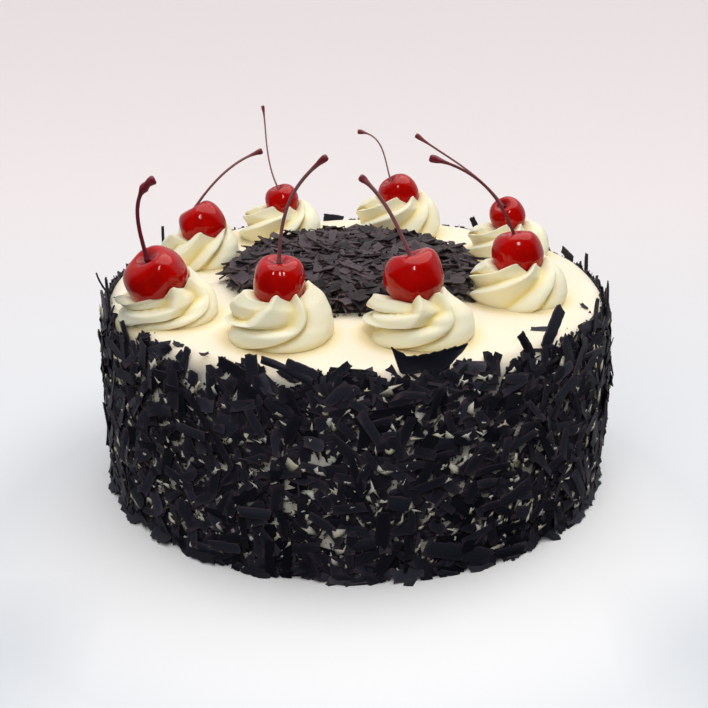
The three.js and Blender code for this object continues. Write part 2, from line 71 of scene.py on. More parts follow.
# Kinds of swirl, petal by petal: how far each ridge falls behind its tip down to the base,
# in degrees, how sharply it bends, and where the crease lies from it to the next ridge, at
# the base and at the crown, changing over the two shares of the height in `shift`. In a
# coil the second ridge wraps round by so many degrees more, between two shares of the
# height.
SWIRLS = {
    "high_coil": dict(sweeps=(130, 45, 85, 60, 85, 100), bends=(2, 1.5, 4, 1.2, 1.5, 1.5),
                      low=(0.2, 0.5, 0.14, 0.4, 0.4, 0.4),
                      high=(0.92, 0.8, 0.2, 0.4, 0.4, 0.4),
                      shift=(0.52, 0.68), wrap=(120, 0.24, 0.44)),
    "low_coil": dict(sweeps=(130, 50, 85, 60, 85, 100), bends=(2, 1, 4, 1.2, 1.5, 1.5),
                     low=(0.2, 0.2, 0.14, 0.4, 0.4, 0.4),
                     high=(0.8, 0.8, 0.2, 0.4, 0.4, 0.4),
                     shift=(0.28, 0.4), wrap=(110, 0.2, 0.5)),
    "leafy": dict(sweeps=(100, 150, 128, 75, 75, 90), bends=(1.5, 0.8, 1.1, 0.7, 0.8, 1),
                  low=(0.5, 0.75, 0.7, 0.35, 0.4, 0.4),
                  high=(0.5, 0.75, 0.7, 0.35, 0.4, 0.4), shift=(0, 1), wrap=(0, 0, 1)),
    "steep": dict(sweeps=(60, 45, 68, 75, 90, 100), bends=(1, 1, 0.8, 0.8, 1, 1),
                  low=(0.6, 0.6, 0.3, 0.4, 0.4, 0.4),
                  high=(0.6, 0.6, 0.3, 0.4, 0.4, 0.4), shift=(0, 1), wrap=(0, 0, 1)),
}
PETAL_DEPTH = 0.22
FIRST_FLARE = 2.2
FIRST_DROP = 2.4
CROWN_JAG = 3.4
# Reach of the ridges over the rosette's radius, by share of the height, up to the crown.
PETAL_SHARES = (0.0, 0.12, 0.27, 0.52, 0.77, 1.0)
PETAL_REACHES = (0.93, 0.99, 1.0, 0.94, 0.8)
ROSETTE_COLUMNS = 216
ROSETTE_ROWS = 54

# Cherries and their stems.
DIMPLE_DEPTH = 0.3
DIMPLE_WIDTH = 0.36
UNDERSIDE = 0.85  # power of the cosine in a cherry's lower half
CHERRY_COLUMNS, CHERRY_ROWS = 80, 56
STEM_SIDES, STEM_STEPS = 18, 72
KNOB_START, KNOB_SPAN = 0.84, 0.13  # where along the stem its knob begins, and over how much

# The largest shavings: bearing round the cake, height, length, width, spin from level,
# how far they stand off the side, and the curl of their ends.
PLANKS = [
    (-114, 80, 13, 4.5, -23, 1, 0),
    (-110, 81.5, 11, 5, 90, 2, 0),
    (-112, 69, 14, 5, 84, 1, 0),
    (-103, 82, 20, 3, -20, 1, 1),
    (-100, 83, 12, 3.5, -20, 1, 0),
    (-93, 82.5, 10, 3, 42, 1, 0),
    (-92, 72, 13.5, 4, 51, 1, 0),
    (-102, 65, 23, 5, -34, 1, 0),
    (-130, 71, 18, 4.7, 46, 1, 0),
    (-116, 58, 10, 9, 10, 1, 0),
    (-147, 78, 12, 4, -62, 1, 0),
    (-159, 88, 14, 2, -66, 1, 0),
    (-162, 82, 16, 2, -30, 2, 0),
    (150, 86, 12, 1.4, 88, -1, 0),
    (-44.2, 86.6, 17, 7.5, 53, -1.5, 0),
    (-41, 74, 21, 5, -60, 2, 0),
    (-53, 84, 13, 3.5, -56, 0, 0),
    (-31, 80, 15, 6, -8, 1, 0),
    (-28, 83, 15, 3, 75, 2, 0),
    (-12, 80, 17, 3.4, 88, 2, 0),
    (-30, 58, 20, 3.4, -54, 1, 0),
    (12, 81.5, 12, 2.6, 82, 1, 0),
    (22, 82, 10, 3.5, 12, 1, 0),
    (55, 83, 9, 3, 60, 0, 0),
    (96, 82, 10, 4, 10, 0, 0),
    (-69, 9, 30, 6.5, -20, 3, 0),
    (-58, 32, 22, 3.4, -4, 1, 0),
    (-59, 23, 18, 3.8, -24, 1, 0),
    (-57, 3.5, 14, 4, -8, 4, 0),
    (-89, 8, 12.5, 4, -22, 1, 0),
    (-83, 11, 14, 5, -78, 1, 0),
    (-80, 42, 11, 7, 90, 1, 0),
    (-73, 48, 13, 5, -82, 1, 0),
    (-107, 8, 15, 4, 90, 3, 0),
]
WALL_SHAVINGS = 58
RIM_SHAVINGS = 30
RIM_SINK = 3  # how much lower they lie at the sides and back than in front
FOOT_SHAVINGS = 26
RIM_ROOM = (-1.5, 6)  # how far smaller flakes may stand over the rim: elsewhere, in front

# The long blade on the front rim.
BLADE = dict(bearing=-75.1, height=85.9, half=13.8, out=-1.0)

# Where the cream shows below the rim: bearing, depth of the bare patch.
BARE_RIM = [(-122, 9), (-104, 7), (-60, 3)]
BARE_WIDTH = 5.5

# Scraps that came loose round the rim: centre, length, width, bearing, how far the end
# points up and how far it rolls over.
LOOSE_FLAKES = [
    (70.3, -60.7, 82.6, 7.5, 2.2, -4, 3, 30),
    (91, -35.4, 82.6, 4.2, 1.5, -62, -10, 20),
    (-64.5, -75.6, 81.8, 4.6, 2, -25, -8, 25),
    (-77.5, -69.8, 83.2, 3.6, 2, 30, 10, 60),
    (-103, -19, 86.5, 11, 2.4, 180, 64, 30),
    (-54, -86, 82, 3, 1.4, 15, 0, 10),
]

# Camera.
CAMERA_PLACE = (-0.278, -494.71, 241.04)
CAMERA_PITCH = 68.7592
CAMERA_LENS = 62.3

# One entry for each rosette with its cherry and stem. Rosette: centre, radius, height of
# the petals, slope of its crown, bearings of its petal tips. Cherry: centre with its
# height over the cake's top, radius, height over width, lean of its axis, shoulder and
# seam (bearing, size), and how square its upper half is. Stem: handles and tip of its
# curve from the dimple, radius, knob radius, where the knob starts, and how pale it is.
TOPPINGS = [
    dict(
        rosette=dict(x=-72.5, y=-43, radius=19.8, height=15.3, slope=(0.22, 0.08),
                     tips=(196, 302, 348, 395, 445, 500), swirl="high_coil",
                     shift=(0.38, 0.54), wrap=(120, 0.1, 0.3)),
        cherry=dict(x=-76.2, y=-46, z=16.6, radius=12.4, squat=0.82, lean=(-0.34, -0.26)),
        stem=dict(curve=((-2, 0.5, 10), (-7, 3, 25), (4, 4, 30.5)), radius=0.85, knob=1.6,
                  knob_start=0.72, pale=0),
    ),
    dict(
        rosette=dict(x=-28, y=-66, radius=20.5, height=19,
                     tips=(190, 268, 305, 385, 430, 475), swirl="low_coil"),
        cherry=dict(x=-27.7, y=-66, z=20.8, radius=9.9, squat=0.95, lean=(0, -0.04),
                    seam=(-86, 0.07), square=0.55),
        stem=dict(curve=((1, -1, 18), (4, -3, 29.5), (18, -5, 40.5)), radius=0.7, knob=1.15,
                  pale=0.45),
    ),
    dict(
        rosette=dict(x=24, y=-64, radius=21.3, height=16.8, slope=(0, -0.17),
                     tips=(182, 276, 312, 385, 428, 470), swirl="high_coil"),
        cherry=dict(x=21.7, y=-64, z=21.7, radius=11, squat=0.88, lean=(-0.1, 0.2),
                    shoulder=(15, 0.16), square=0.55),
        stem=dict(curve=((-5, 0, 10.5), (-9.5, 3.5, 22.5), (-19.2, 6, 29)), radius=0.8,
                  knob=1.25, pale=0.4),
    ),
    dict(
        rosette=dict(x=66, y=-22, radius=20.5, height=17,
                     tips=(199, 259, 297, 352, 400, 455), swirl="leafy"),
        cherry=dict(x=65.4, y=-22, z=18.3, radius=10.2, squat=0.95, lean=(-0.2, 0.12),
                    square=0.55),
        stem=dict(curve=((-6.5, -1, 17.5), (-17, -4, 28.5), (-35, -6, 33)), radius=0.6,
                  knob=1.35, pale=0.1),
    ),
    dict(
        rosette=dict(x=69.5, y=42, radius=19, height=15,
                     tips=(199, 259, 297, 352, 400, 455), swirl="leafy"),
        cherry=dict(x=69, y=42, z=17.5, radius=8, squat=0.95, lean=(-0.43, -0.43)),
        stem=dict(curve=((-10, 3, 14), (-26, 4, 21.5), (-39.5, 6, 31)), radius=0.5, knob=1),
    ),
    dict(
        rosette=dict(x=20.5, y=78, radius=21, height=19,
                     tips=(204, 264, 303, 355, 402, 457), swirl="leafy"),
        cherry=dict(x=21, y=78, z=18.6, radius=9.4, squat=0.95, lean=(-0.53, -0.07)),
        stem=dict(curve=((-3.5, -1, 10), (-3, -3, 24), (-16, -5, 25)), radius=0.4,
                  knob=1.0, pale=1),
    ),
    dict(
        rosette=dict(x=-35, y=68, radius=20, height=16.5,
                     tips=(186, 246, 292, 340, 392, 447), swirl="leafy"),
        cherry=dict(x=-33.9, y=68, z=17.5, radius=8.1, squat=0.95, lean=(-0.27, -0.02)),
        stem=dict(curve=((-6.5, 1, 12.5), (-5, 4, 26), (-7, 6, 38)), radius=0.4, knob=0.7,
                  pale=1),
    ),
    dict(
        rosette=dict(x=-69, y=30, radius=18, height=15.5,
                     tips=(210, 272, 335, 395, 450, 510), swirl="steep"),
        cherry=dict(x=-67.2, y=30, z=16.7, radius=10.3, squat=0.93, lean=(-0.5, 0.1),
                    square=0.75),
        stem=dict(curve=((7, 1, 10.5), (17, 5, 21), (30.3, 8, 24.5)), radius=0.6, knob=1.2),
    ),
]


# ---------------------------------------------------------------- numbers


def draw(i, k):
    """The same number between 0 and 1 every time for piece i and choice k, as in the
    part's source: the fraction of a large multiple of a sine."""
    spread = np.sin(i * 12.9898 + k * 78.233) * 43758.5453
    return spread - np.floor(spread)


def between(low, high, share):
    return low + (high - low) * share


def smooth_step(low, high, value):
    """0 below low, 1 above high, and 3s² - 2s³ between them."""
    share = np.clip((value - low) / (high - low), 0, 1)
    return share * share * (3 - 2 * share)


def climb(value, start):
    """0 up to start, then evenly up to 1 at 1."""
    return np.clip((value - start) / (1 - start), 0, 1)


def waves(points, size, seed, count=14):
    """Soft unevenness of about -1 to 1 at each point: the sum of plane waves in drawn
    directions whose lengths lie near `size`, over the root of their number."""
    rng = np.random.default_rng(seed)
    direction = rng.normal(size=(count, 3))
    direction /= np.linalg.norm(direction, axis=1, keepdims=True)
    length = size * rng.uniform(0.7, 1.5, count)
    phase = rng.uniform(0, FULL_TURN, count)
    total = sum(
        np.sin(FULL_TURN * (points @ way) / span + start)
        for way, span, start in zip(direction, length, phase)
    )
    return total * math.sqrt(1 / count)


def rotations(axis, angle):
    """Right-handed turns about axis 0, 1 or 2, one 3 × 3 matrix for each angle."""
    angle = np.asarray(angle, float)
    made = np.zeros((*angle.shape, 3, 3))
    a, b = (axis + 1) % 3, (axis + 2) % 3
    made[..., axis, axis] = 1
    made[..., a, a] = made[..., b, b] = np.cos(angle)
    made[..., b, a] = np.sin(angle)
    made[..., a, b] = -np.sin(angle)
    return made


def turn_to(lean):
    """The shortest turn from +Z to the axis with that x and y: I + V + V² / (1 + cos)."""
    axis = np.array([*lean, math.sqrt(1 - lean[0] ** 2 - lean[1] ** 2)])
    cross = np.array([-axis[1], axis[0], 0])
    v = np.array([[0, 0, cross[1]], [0, 0, -cross[0]], [-cross[1], cross[0], 0]])
    return np.eye(3) + v + v @ v / (1 + axis[2]), axis


def turns(count):
    """That many bearings spread evenly round a full turn."""
    return np.arange(count) * FULL_TURN / count


def polar(radius, angle, height, x=0.0, y=0.0):
    """Points that far from a centre at that bearing and height."""
    return np.stack(np.broadcast_arrays(
        x + radius * np.cos(angle), y + radius * np.sin(angle), height), -1)


# ---------------------------------------------------------------- meshes


def make_piece(name, points, faces, material, node=None, uv=None, marks=(),
               crisp=False):
    """A mesh object on the body root from points in millimetres and arrays of faces, with
    a UV and named numbers for each point. A crisp piece keeps its edges sharp."""
    mesh = bpy.data.meshes.new(name)
    corners = np.concatenate([part.ravel() for part in faces])
    sizes = np.concatenate([np.full(len(part), part.shape[1]) for part in faces])
    mesh.vertices.add(len(points))
    mesh.vertices.foreach_set("co", (points * MM).ravel())
    mesh.loops.add(len(corners))
    mesh.loops.foreach_set("vertex_index", corners)
    mesh.polygons.add(len(sizes))
    mesh.polygons.foreach_set("loop_start", np.cumsum(sizes) - sizes)
    mesh.update(calc_edges=True)
    mesh.polygons.foreach_set("use_smooth", np.ones(len(sizes), bool))
    if crisp:
        mesh.set_sharp_from_angle(angle=math.radians(30))
    if uv is not None:
        layer = mesh.uv_layers.new(name="UVMap")
        layer.uv.foreach_set("vector", uv[corners].ravel())
    for label, values in dict(marks).items():
        mark = mesh.attributes.new(label, "FLOAT", "POINT")
        mark.data.foreach_set("value", values.ravel())
    mesh.materials.append(material)
    piece = bpy.data.objects.new(name, mesh)
    bpy.context.scene.collection.objects.link(piece)
    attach(piece, "root")
    if node:
        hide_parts(node)
    return piece


def chocolate_piece(name, batch, material, ground=GROUND):
    """A piece of sharp-edged chocolate from a batch of flakes or crumbs, its points kept
    at or above the ground under it."""
    points, faces, uv, marks = batch
    points[:, 2] = np.maximum(points[:, 2], ground)
    return make_piece(name, points, [faces], material, uv=uv, marks=marks,
                      crisp=True)


def round_form(rings):
    """A closed form from rings of points (rows, columns, 3), counter-clockwise from the
    bottom up and out, whose first and last row each draw together to one point."""
    rows, columns = rings.shape[:2]
    points = np.concatenate([rings[0, :1], rings[1:-1].reshape(-1, 3), rings[-1, :1]])
    index = 1 + np.arange((rows - 2) * columns).reshape(rows - 2, columns)
    after = np.roll(index, -1, axis=1)
    quads = np.stack([index[:-1], after[:-1], after[1:], index[1:]], -1).reshape(-1, 4)
    first = np.zeros(columns, int)
    last = np.full(columns, len(points) - 1)
    foot = np.stack([first, after[0], index[0]], -1)
    crown = np.stack([index[-1], after[-1], last], -1)
    return points, [foot, quads, crown]


def ring_marks(values):
    """Numbers given on the rings of a round form, one for each of its points."""
    return np.concatenate([values[0, :1], values[1:-1].ravel(), values[-1, :1]])


def flake_grid(steps, lanes):
    """A flake's points as rings, one for each step along it, that run out along the lower
    lanes and back along the upper ones: u from -1 to 1 along, v from -1 to 1 across, and
    -1 below or 1 above."""
    across = np.linspace(-1, 1, lanes)
    return (np.linspace(-1, 1, steps)[:, None], np.concatenate([across, across[::-1]])[None],
            np.repeat([-1.0, 1.0], lanes)[None])


def flake_faces(steps, lanes):
    """Faces of a closed flake on such a grid."""
    ring = 2 * lanes
    index = np.arange(steps * ring).reshape(steps, ring)
    after = np.roll(index, -1, axis=1)
    sides = np.stack([index[:-1], after[:-1], after[1:], index[1:]], -1).reshape(-1, 4)
    low = np.arange(lanes - 1)
    high = ring - 1 - low
    start = np.stack([high, high - 1, low + 1, low], -1)
    finish = np.stack([low, low + 1, high - 1, high], -1) + (steps - 1) * ring
    return np.concatenate([sides, start, finish])


def for_each(faces, count, size):
    """One copy's faces, given again for each of so many copies of `size` points."""
    return (faces + (np.arange(count) * size)[:, None, None]).reshape(-1, faces.shape[1])


def flakes(rng, centre, axes, length, width, thickness=1.0, curl=0, cup=0, twist=0,
           taper=0, ragged=0.2, steps=4, lanes=3, tone=None):
    """Thin closed flakes, all at once. With u from -1 to 1 along and v from -1 to 1
    across: x is u times half the length with ragged ends, y is v times half the width
    narrowed by taper |u| with ragged sides, z is curl (u² - 1/3) + cup (v² - 1/3) +
    twist u v, plus and minus half the thickness, which thins to the edges. Each flake's
    axes, the columns of a 3 × 3, turn x, y, z into the cake's."""
    count = len(centre)
    length, width, thickness, curl, cup, twist, taper = (
        np.broadcast_to(np.asarray(value, float), (count,))[:, None, None]
        for value in (length, width, thickness, curl, cup, twist, taper)
    )
    u, v, side = flake_grid(steps, lanes)
    end_jags = rng.uniform(-1, 1, (count, 2, lanes))
    end_jags = np.concatenate([end_jags, end_jags[..., ::-1]], axis=2)
    end = np.where(u < 0, end_jags[:, :1], end_jags[:, 1:])
    side_jags = rng.uniform(-1, 1, (count, steps, 2))
    edge = between(side_jags[..., :1], side_jags[..., 1:], (v + 1) / 2)
    x = u * length / 2 + np.sign(u) * u**4 * end * ragged * width
    y = v * width / 2 * (1 - taper * np.abs(u)) * (1 + edge * ragged)
    z = curl * (u**2 - 1 / 3) + cup * (v**2 - 1 / 3) + twist * u * v
    rim = np.maximum(np.abs(u), np.abs(v)) ** 6
    z = z + side * thickness / 2 * (1 - 0.55 * rim)
    local = np.stack(np.broadcast_arrays(x, y, z), -1).reshape(count, -1, 3)
    points = np.einsum("nij,npj->npi", axes, local) + centre[:, None, :]
    size = steps * 2 * lanes
    if tone is None:
        tone = rng.random(count)
    marks = {"tone": np.repeat(tone, size), "edge": np.broadcast_to(rim, x.shape).ravel()}
    uv = np.stack([x, np.broadcast_to(v * width / 2, x.shape)], -1).reshape(-1, 2) / 10
    uv = uv + np.repeat(rng.uniform(0, 40, (count, 2)), size, axis=0)
    return points.reshape(-1, 3), for_each(flake_faces(steps, lanes), count, size), uv, marks


def joined(*batches):
    """Several batches of flakes as one set of arrays."""
    offsets = np.cumsum([0] + [len(batch[0]) for batch in batches[:-1]])
    points = np.concatenate([batch[0] for batch in batches])
    faces = np.concatenate([batch[1] + offset for batch, offset in zip(batches, offsets)])
    uv = np.concatenate([batch[2] for batch in batches])
    marks = {key: np.concatenate([batch[3][key] for batch in batches]) for key in batches[0][3]}
    return points, faces, uv, marks


def crumbs(rng, centre, size):
    """Broken bits of eight faces each: an octahedron whose corners are drawn in or out."""
    corners = np.array([[1, 0, 0], [-1, 0, 0], [0, 1, 0], [0, -1, 0], [0, 0, 1], [0, 0, -1]])
    faces = np.array([[0, 2, 4], [2, 1, 4], [1, 3, 4], [3, 0, 4],
                      [2, 0, 5], [1, 2, 5], [3, 1, 5], [0, 3, 5]])
    count = len(centre)
    axes = rotations(2, rng.uniform(0, FULL_TURN, count)) @ rotations(
        0, rng.uniform(0, FULL_TURN, count)
    )
    reach = rng.uniform(0.35, 1.0, (count, 6, 1)) * size[:, None, None]
    points = np.einsum("nij,npj->npi", axes, corners * reach) + centre[:, None, :]
    marks = {"tone": np.repeat(rng.random(count), 6), "edge": np.zeros(count * 6)}
    return points.reshape(-1, 3), for_each(faces, count, 6), rng.random((count * 6, 2)), marks


# ---------------------------------------------------------------- places on the cake


def side_radius(bearing, height):
    """Radius of the cream's side: it swells out at half height as half a sine wave, more
    towards +X."""
    swell = WALL_BELLY + BELLY_SKEW * np.cos(bearing)
    return CAKE_RADIUS + swell * np.sin(np.pi * np.clip(height / CAKE_HEIGHT, 0, 1))


def wall_axes(bearing, spin, lift=0.0, roll=0.0, tip=0.0):
    """Axes of flakes on the side: along the wall, up and outwards. The face tips up, then
    spin turns it in its plane, then one end lifts and one edge rolls. Radians."""
    cos, sin = np.cos(bearing), np.sin(bearing)
    zero, one = np.zeros_like(cos), np.ones_like(cos)
    base = np.stack([
        np.stack([-sin, zero, cos], -1),
        np.stack([cos, zero, sin], -1),
        np.stack([zero, one, zero], -1),
    ], -2)
    tipped = base @ rotations(0, -np.asarray(tip) * one)
    spun = tipped @ rotations(2, spin) @ rotations(1, -np.asarray(lift) * one)
    return spun @ rotations(0, np.asarray(roll) * one)


def on_side(bearing, height, out):
    """Points that far out from the side."""
    return polar(side_radius(bearing, height) + out, bearing, height)


def clear_of_rosettes(points, margin):
    """True where a point keeps that distance from every rosette's edge."""
    keep = np.ones(len(points), bool)
    for topping in TOPPINGS:
        rosette = topping["rosette"]
        away = np.hypot(points[:, 0] - rosette["x"], points[:, 1] - rosette["y"])
        keep &= (away > rosette["radius"] + margin) | (points[:, 2] < CAKE_HEIGHT - RIM_ROUND)
    return keep


def rim_edge(bearing):
    """Height where the coat of shavings ends: a little over the rim, with dips."""
    edge = CAKE_HEIGHT + 0.6 + 0.8 * np.sin(9 * bearing) + 0.6 * np.sin(23 * bearing + 1)
    for middle, depth in BARE_RIM:
        away = np.degrees(bearing) - middle
        away = (away + 180) % 360 - 180
        edge = edge - depth * np.exp(-((away / BARE_WIDTH) ** 2))
    return edge


def coat_share(points):
    """How thickly the shavings lie: thinner in soft patches and towards the front foot."""
    front = np.clip(-points[:, 1] / CAKE_RADIUS, 0, 1)
    low = 1 - points[:, 2] / CAKE_HEIGHT
    patches = waves(points, 34, 5) * 0.1 + waves(points, 13, 6) * 0.1
    return np.clip(0.95 - 0.12 * front * low + patches, 0.5, 1)


# ---------------------------------------------------------------- materials


def linear(code):
    """An sRGB hex colour as linear red, green, blue, alpha."""
    values = np.array([int(code[i : i + 2], 16) for i in (1, 3, 5)]) / 255
    made = np.where(values <= 0.04045, values / 12.92, ((values + 0.055) / 1.055) ** 2.4)
    return (*made.tolist(), 1.0)


def feed(tree, node, sockets):
    """Links each socket to the output given for it, or sets it to the plain value. A hex
    code is a colour."""
    for name, value in dict(sockets).items():
        if isinstance(value, bpy.types.NodeSocket):
            tree.links.new(value, node.inputs[name])
        else:
            node.inputs[name].default_value = linear(value) if isinstance(value, str) else value


def add_node(tree, kind, options=(), sockets=()):
    """Adds a node with its options and with what feeds its sockets."""
    made = tree.nodes.new(kind)
    for name, value in dict(options).items():
        setattr(made, name, value)
    feed(tree, made, sockets)
    return made


def object_place(tree):
    """The object's own coordinates, in metres."""
    return add_node(tree, "ShaderNodeTexCoord").outputs["Object"]


def own_uv(tree, scale):
    """The piece's UV map, scaled. A unit of it is 10 mm on a flake."""
    uv = add_node(tree, "ShaderNodeUVMap").outputs["UV"]
    return add_node(tree, "ShaderNodeMapping", {}, {"Vector": uv, "Scale": scale}).outputs[0]


def noise(tree, place, scale, detail, roughness=0.5):
    """Noise over those coordinates, from 0 to 1."""
    return add_node(tree, "ShaderNodeTexNoise", {}, {
        "Vector": place, "Scale": scale, "Detail": detail, "Roughness": roughness,
    }).outputs["Fac"]


def mark(tree, name):
    """The number that the mesh carries at each point under that name."""
    return add_node(tree, "ShaderNodeAttribute", {"attribute_name": name}).outputs["Fac"]


def blend(tree, factor, first, second):
    """The second colour over the first by that factor."""
    return add_node(tree, "ShaderNodeMix", {"data_type": "RGBA"},
                    {"Factor": factor, "A": first, "B": second}).outputs["Result"]


def maths(tree, operation, *terms):
    """Arithmetic on plain numbers and other nodes' outputs."""
    return add_node(tree, "ShaderNodeMath", {"operation": operation},
                    dict(enumerate(terms))).outputs[0]


def ramp(tree, value, start, finish, low=0.0, high=1.0):
    """A number carried evenly from one range to another and held at its ends."""
    return add_node(tree, "ShaderNodeMapRange", {}, {
        "Value": value, "From Min": start, "From Max": finish, "To Min": low, "To Max": high,
    }).outputs["Result"]


def bump(tree, height, strength, depth):
    """A normal with relief of that depth in metres."""
    return add_node(tree, "ShaderNodeBump", {}, {
        "Height": height, "Strength": strength, "Distance": depth,
    }).outputs["Normal"]


def new_material(name):
    """A material with its node tree and its Principled shader."""
    material = bpy.data.materials.new(name)
    material.use_nodes = True
    tree = material.node_tree
    return material, tree, tree.nodes["Principled BSDF"]


def whipped_cream(name, pale, deep_tone_and_shade):
    """Whipped cream, spread or piped: pale and faintly yellow, a soft satin surface that
    light sinks into, with fine air bubbles and a tone that varies at random. The mark adds
    yellower, darker cream: painted shade in the folds and round the piping, and a random
    tone on the side's dabs. Grey on the side below the rim is painted shade as well."""
    material, tree, shader = new_material(name)
    place = object_place(tree)
    # Random tone from the noise, plus painted shade (and the dabs' random tone) from the mark.
    depth = maths(tree, "MULTIPLY_ADD", noise(tree, place, 60.0, 3.0), 0.25,
                  mark(tree, "shade_and_tone"))
    bubbles = noise(tree, place, 900.0, 4.0, 0.6)
    feed(tree, shader, {
        # Painted shade: the side's cream below the rim is mixed to grey.
        "Base Color": blend(tree, mark(tree, "side"), blend(tree, depth, pale, deep_tone_and_shade), "#cfccc2"),
        "Normal": bump(tree, bubbles, 0.25, 0.0003),
        "Roughness": 0.5,
        "IOR": 1.45,
        "Specular IOR Level": 0.4,
        "Subsurface Weight": 0.35,
        "Subsurface Radius": (1.0, 0.75, 0.4),
        "Subsurface Scale": 0.003,
    })
    return material


def shaved_chocolate(name, dark, light, broken):
    """Dark chocolate shaved off a block: nearly black and satin, scraped with fine lines
    along each flake, browner where it broke. The scraper's lines are 0.3 mm apart, too
    fine to show, so they are drawn 1 mm apart across a flake and long along it."""
    material, tree, shader = new_material(name)
    tone = mark(tree, "tone")
    lines = noise(tree, own_uv(tree, (1.5, 10.0, 1.0)), 1.0, 3.0, 0.6)
    often = maths(tree, "MULTIPLY", maths(tree, "POWER", mark(tree, "edge"), 4.0), tone)
    worn = maths(tree, "MULTIPLY", often, lines)
    feed(tree, shader, {
        "Base Color": blend(tree, worn, blend(tree, tone, dark, light), broken),
        "Roughness": ramp(tree, lines, 0.0, 1.0, 0.38, 0.62),
        "Normal": bump(tree, lines, 0.6, 0.0003),
        "IOR": 1.45,
        "Specular IOR Level": 0.2,
    })
    return material


def candied_cherry(name):
    """Cherry in syrup: deep red skin, clear and wet, darker towards the dimple."""
    material, tree, shader = new_material(name)
    place = object_place(tree)
    skin = blend(tree, noise(tree, place, 220.0, 3.0), "#960500", "#d00700")
    feed(tree, shader, {
        "Base Color": blend(tree, mark(tree, "dimple"), skin, "#6c0308"),
        "Normal": bump(tree, noise(tree, place, 350.0, 2.0), 0.1, 0.0006),
        "Roughness": 0.12,
        "IOR": 1.4,
        "Specular IOR Level": 0.4,
        "Subsurface Weight": 0.2,
        "Subsurface Radius": (1.0, 0.15, 0.1),
        "Subsurface Scale": 0.002,
        "Coat Weight": 0.08,
        "Coat Roughness": 0.04,
    })
    return material


def cherry_stalk(name):
    """Cherry stalk stained by syrup: wine-dark wood with faint lines along it, redder at
    its cut end, greyer where the mark is 1."""
    material, tree, shader = new_material(name)
    fibre = noise(tree, own_uv(tree, (9.0, 6.0, 1.0)), 1.0, 3.0)
    bark = blend(tree, fibre, "#4a1020", "#862636")
    faded = blend(tree, mark(tree, "pale"), bark, "#a87a7e")
    feed(tree, shader, {
        "Base Color": blend(tree, mark(tree, "cut"), faded, "#7c1a2e"),
        "Normal": bump(tree, fibre, 0.4, 0.0002),
        "Roughness": 0.4,
        "IOR": 1.5,
    })
    return material


def studio_floor(name):
    """Matt pale board under the cake, a little warmer far behind, with painted light just
    before the cake over the cake's own shadow, and painted shade towards the nearest corners."""
    material, tree, shader = new_material(name)
    place = object_place(tree)
    parts = add_node(tree, "ShaderNodeSeparateXYZ", {}, {0: place}).outputs
    far = maths(tree, "MULTIPLY_ADD", noise(tree, place, 2.0, 2.0), 0.1,
                ramp(tree, parts["Y"], 0.05, 0.5))
    board = blend(tree, far, "#dadde2", "#e9e1e2")
    away = add_node(tree, "ShaderNodeVectorMath", {"operation": "DISTANCE"},
                    {0: place, 1: (0.0, -0.06, 0.0)}).outputs["Value"]
    # Painted light: a pale pool just before the cake.
    lit = blend(tree, ramp(tree, away, 0.142, 0.08), board, "#fafafc")
    # Painted shade: dimmer towards the nearest corners.
    aside = ramp(tree, maths(tree, "ABSOLUTE", parts["X"]), 0.085, 0.12)
    dim = maths(tree, "MULTIPLY", ramp(tree, parts["Y"], -0.1, -0.15), aside)
    feed(tree, shader, {"Base Color": blend(tree, dim, lit, "#ccd0d6"), "Roughness": 0.7})
    return material


# ---------------------------------------------------------------- pieces


def cream_body(material):
    """The cake's cream: a turned form. Up the side the radius is the cake's with soft
    unevenness, over the rim it is a quarter round whose radius wanders, and over the top
    it falls evenly to the middle with low spatula waves. Painted shade, yellower cream,
    marks the rings round the rosettes' feet, and painted shade greys the side below the rim."""
    columns = 420
    angle = turns(columns)
    wall = np.linspace(0, 1, 44)
    bend = np.linspace(0, 1, 15)[1:]
    inward = np.linspace(1, 0, 62)[1:]
    soft = RIM_ROUND * (1 + 0.25 * waves(polar(CAKE_RADIUS, angle, 0.0), 60, 11))
    rows = []
    for share in wall:
        height = share * (CAKE_HEIGHT - soft)
        inset = FOOT_INSET * (1 - smooth_step(0, 6, height))
        rows.append((side_radius(angle, height) - inset, height))
    for share in bend:
        turn = share * math.pi / 2
        edge = side_radius(angle, CAKE_HEIGHT - soft)
        rows.append((edge - soft * (1 - math.cos(turn)),
                     CAKE_HEIGHT - soft * (1 - math.sin(turn))))
    for share in inward:
        rows.append(((edge - soft) * share, np.full(columns, CAKE_HEIGHT)))
    radius = np.array([np.broadcast_to(r, columns) for r, _ in rows])
    height = np.array([np.broadcast_to(z, columns) for _, z in rows])
    flat = polar(radius, angle, height)
    bumps = 0.45 * waves(flat, 26, 12) + 0.2 * waves(flat, 8, 13)
    level = smooth_step(CAKE_HEIGHT - 8, CAKE_HEIGHT - 1, height)
    foot = smooth_step(0, 3, height)
    radius = radius + bumps * (1 - level) * foot
    ruffle = 0.35 * waves(flat, 42, 14) + 0.12 * waves(flat, 15, 15)
    height = height + ruffle * level
    rings = np.concatenate([np.zeros((1, columns, 3)), polar(radius, angle, height)])
    # Painted shade: yellower cream in a ring round each rosette's foot on the top.
    round_piping = np.zeros(rings.shape[:2])
    for topping in TOPPINGS:
        rosette = topping["rosette"]
        away = np.hypot(rings[..., 0] - rosette["x"], rings[..., 1] - rosette["y"])
        ring_shade = np.exp(-(((away - rosette["radius"]) / 3.5) ** 2))
        round_piping = np.maximum(round_piping, ring_shade * (rings[..., 2] > CAKE_HEIGHT - 8))
    points, faces = round_form(rings)
    # Painted shade: the side below the rim is marked to be greyed.
    painted_wall_shade = 1 - smooth_step(CAKE_HEIGHT - 7, CAKE_HEIGHT - 2, points[:, 2])
    return make_piece("cream_coat", points, faces, material, "cake_body",
                      marks={"shade_and_tone": ring_marks(round_piping) * 0.6, "side": painted_wall_shade})


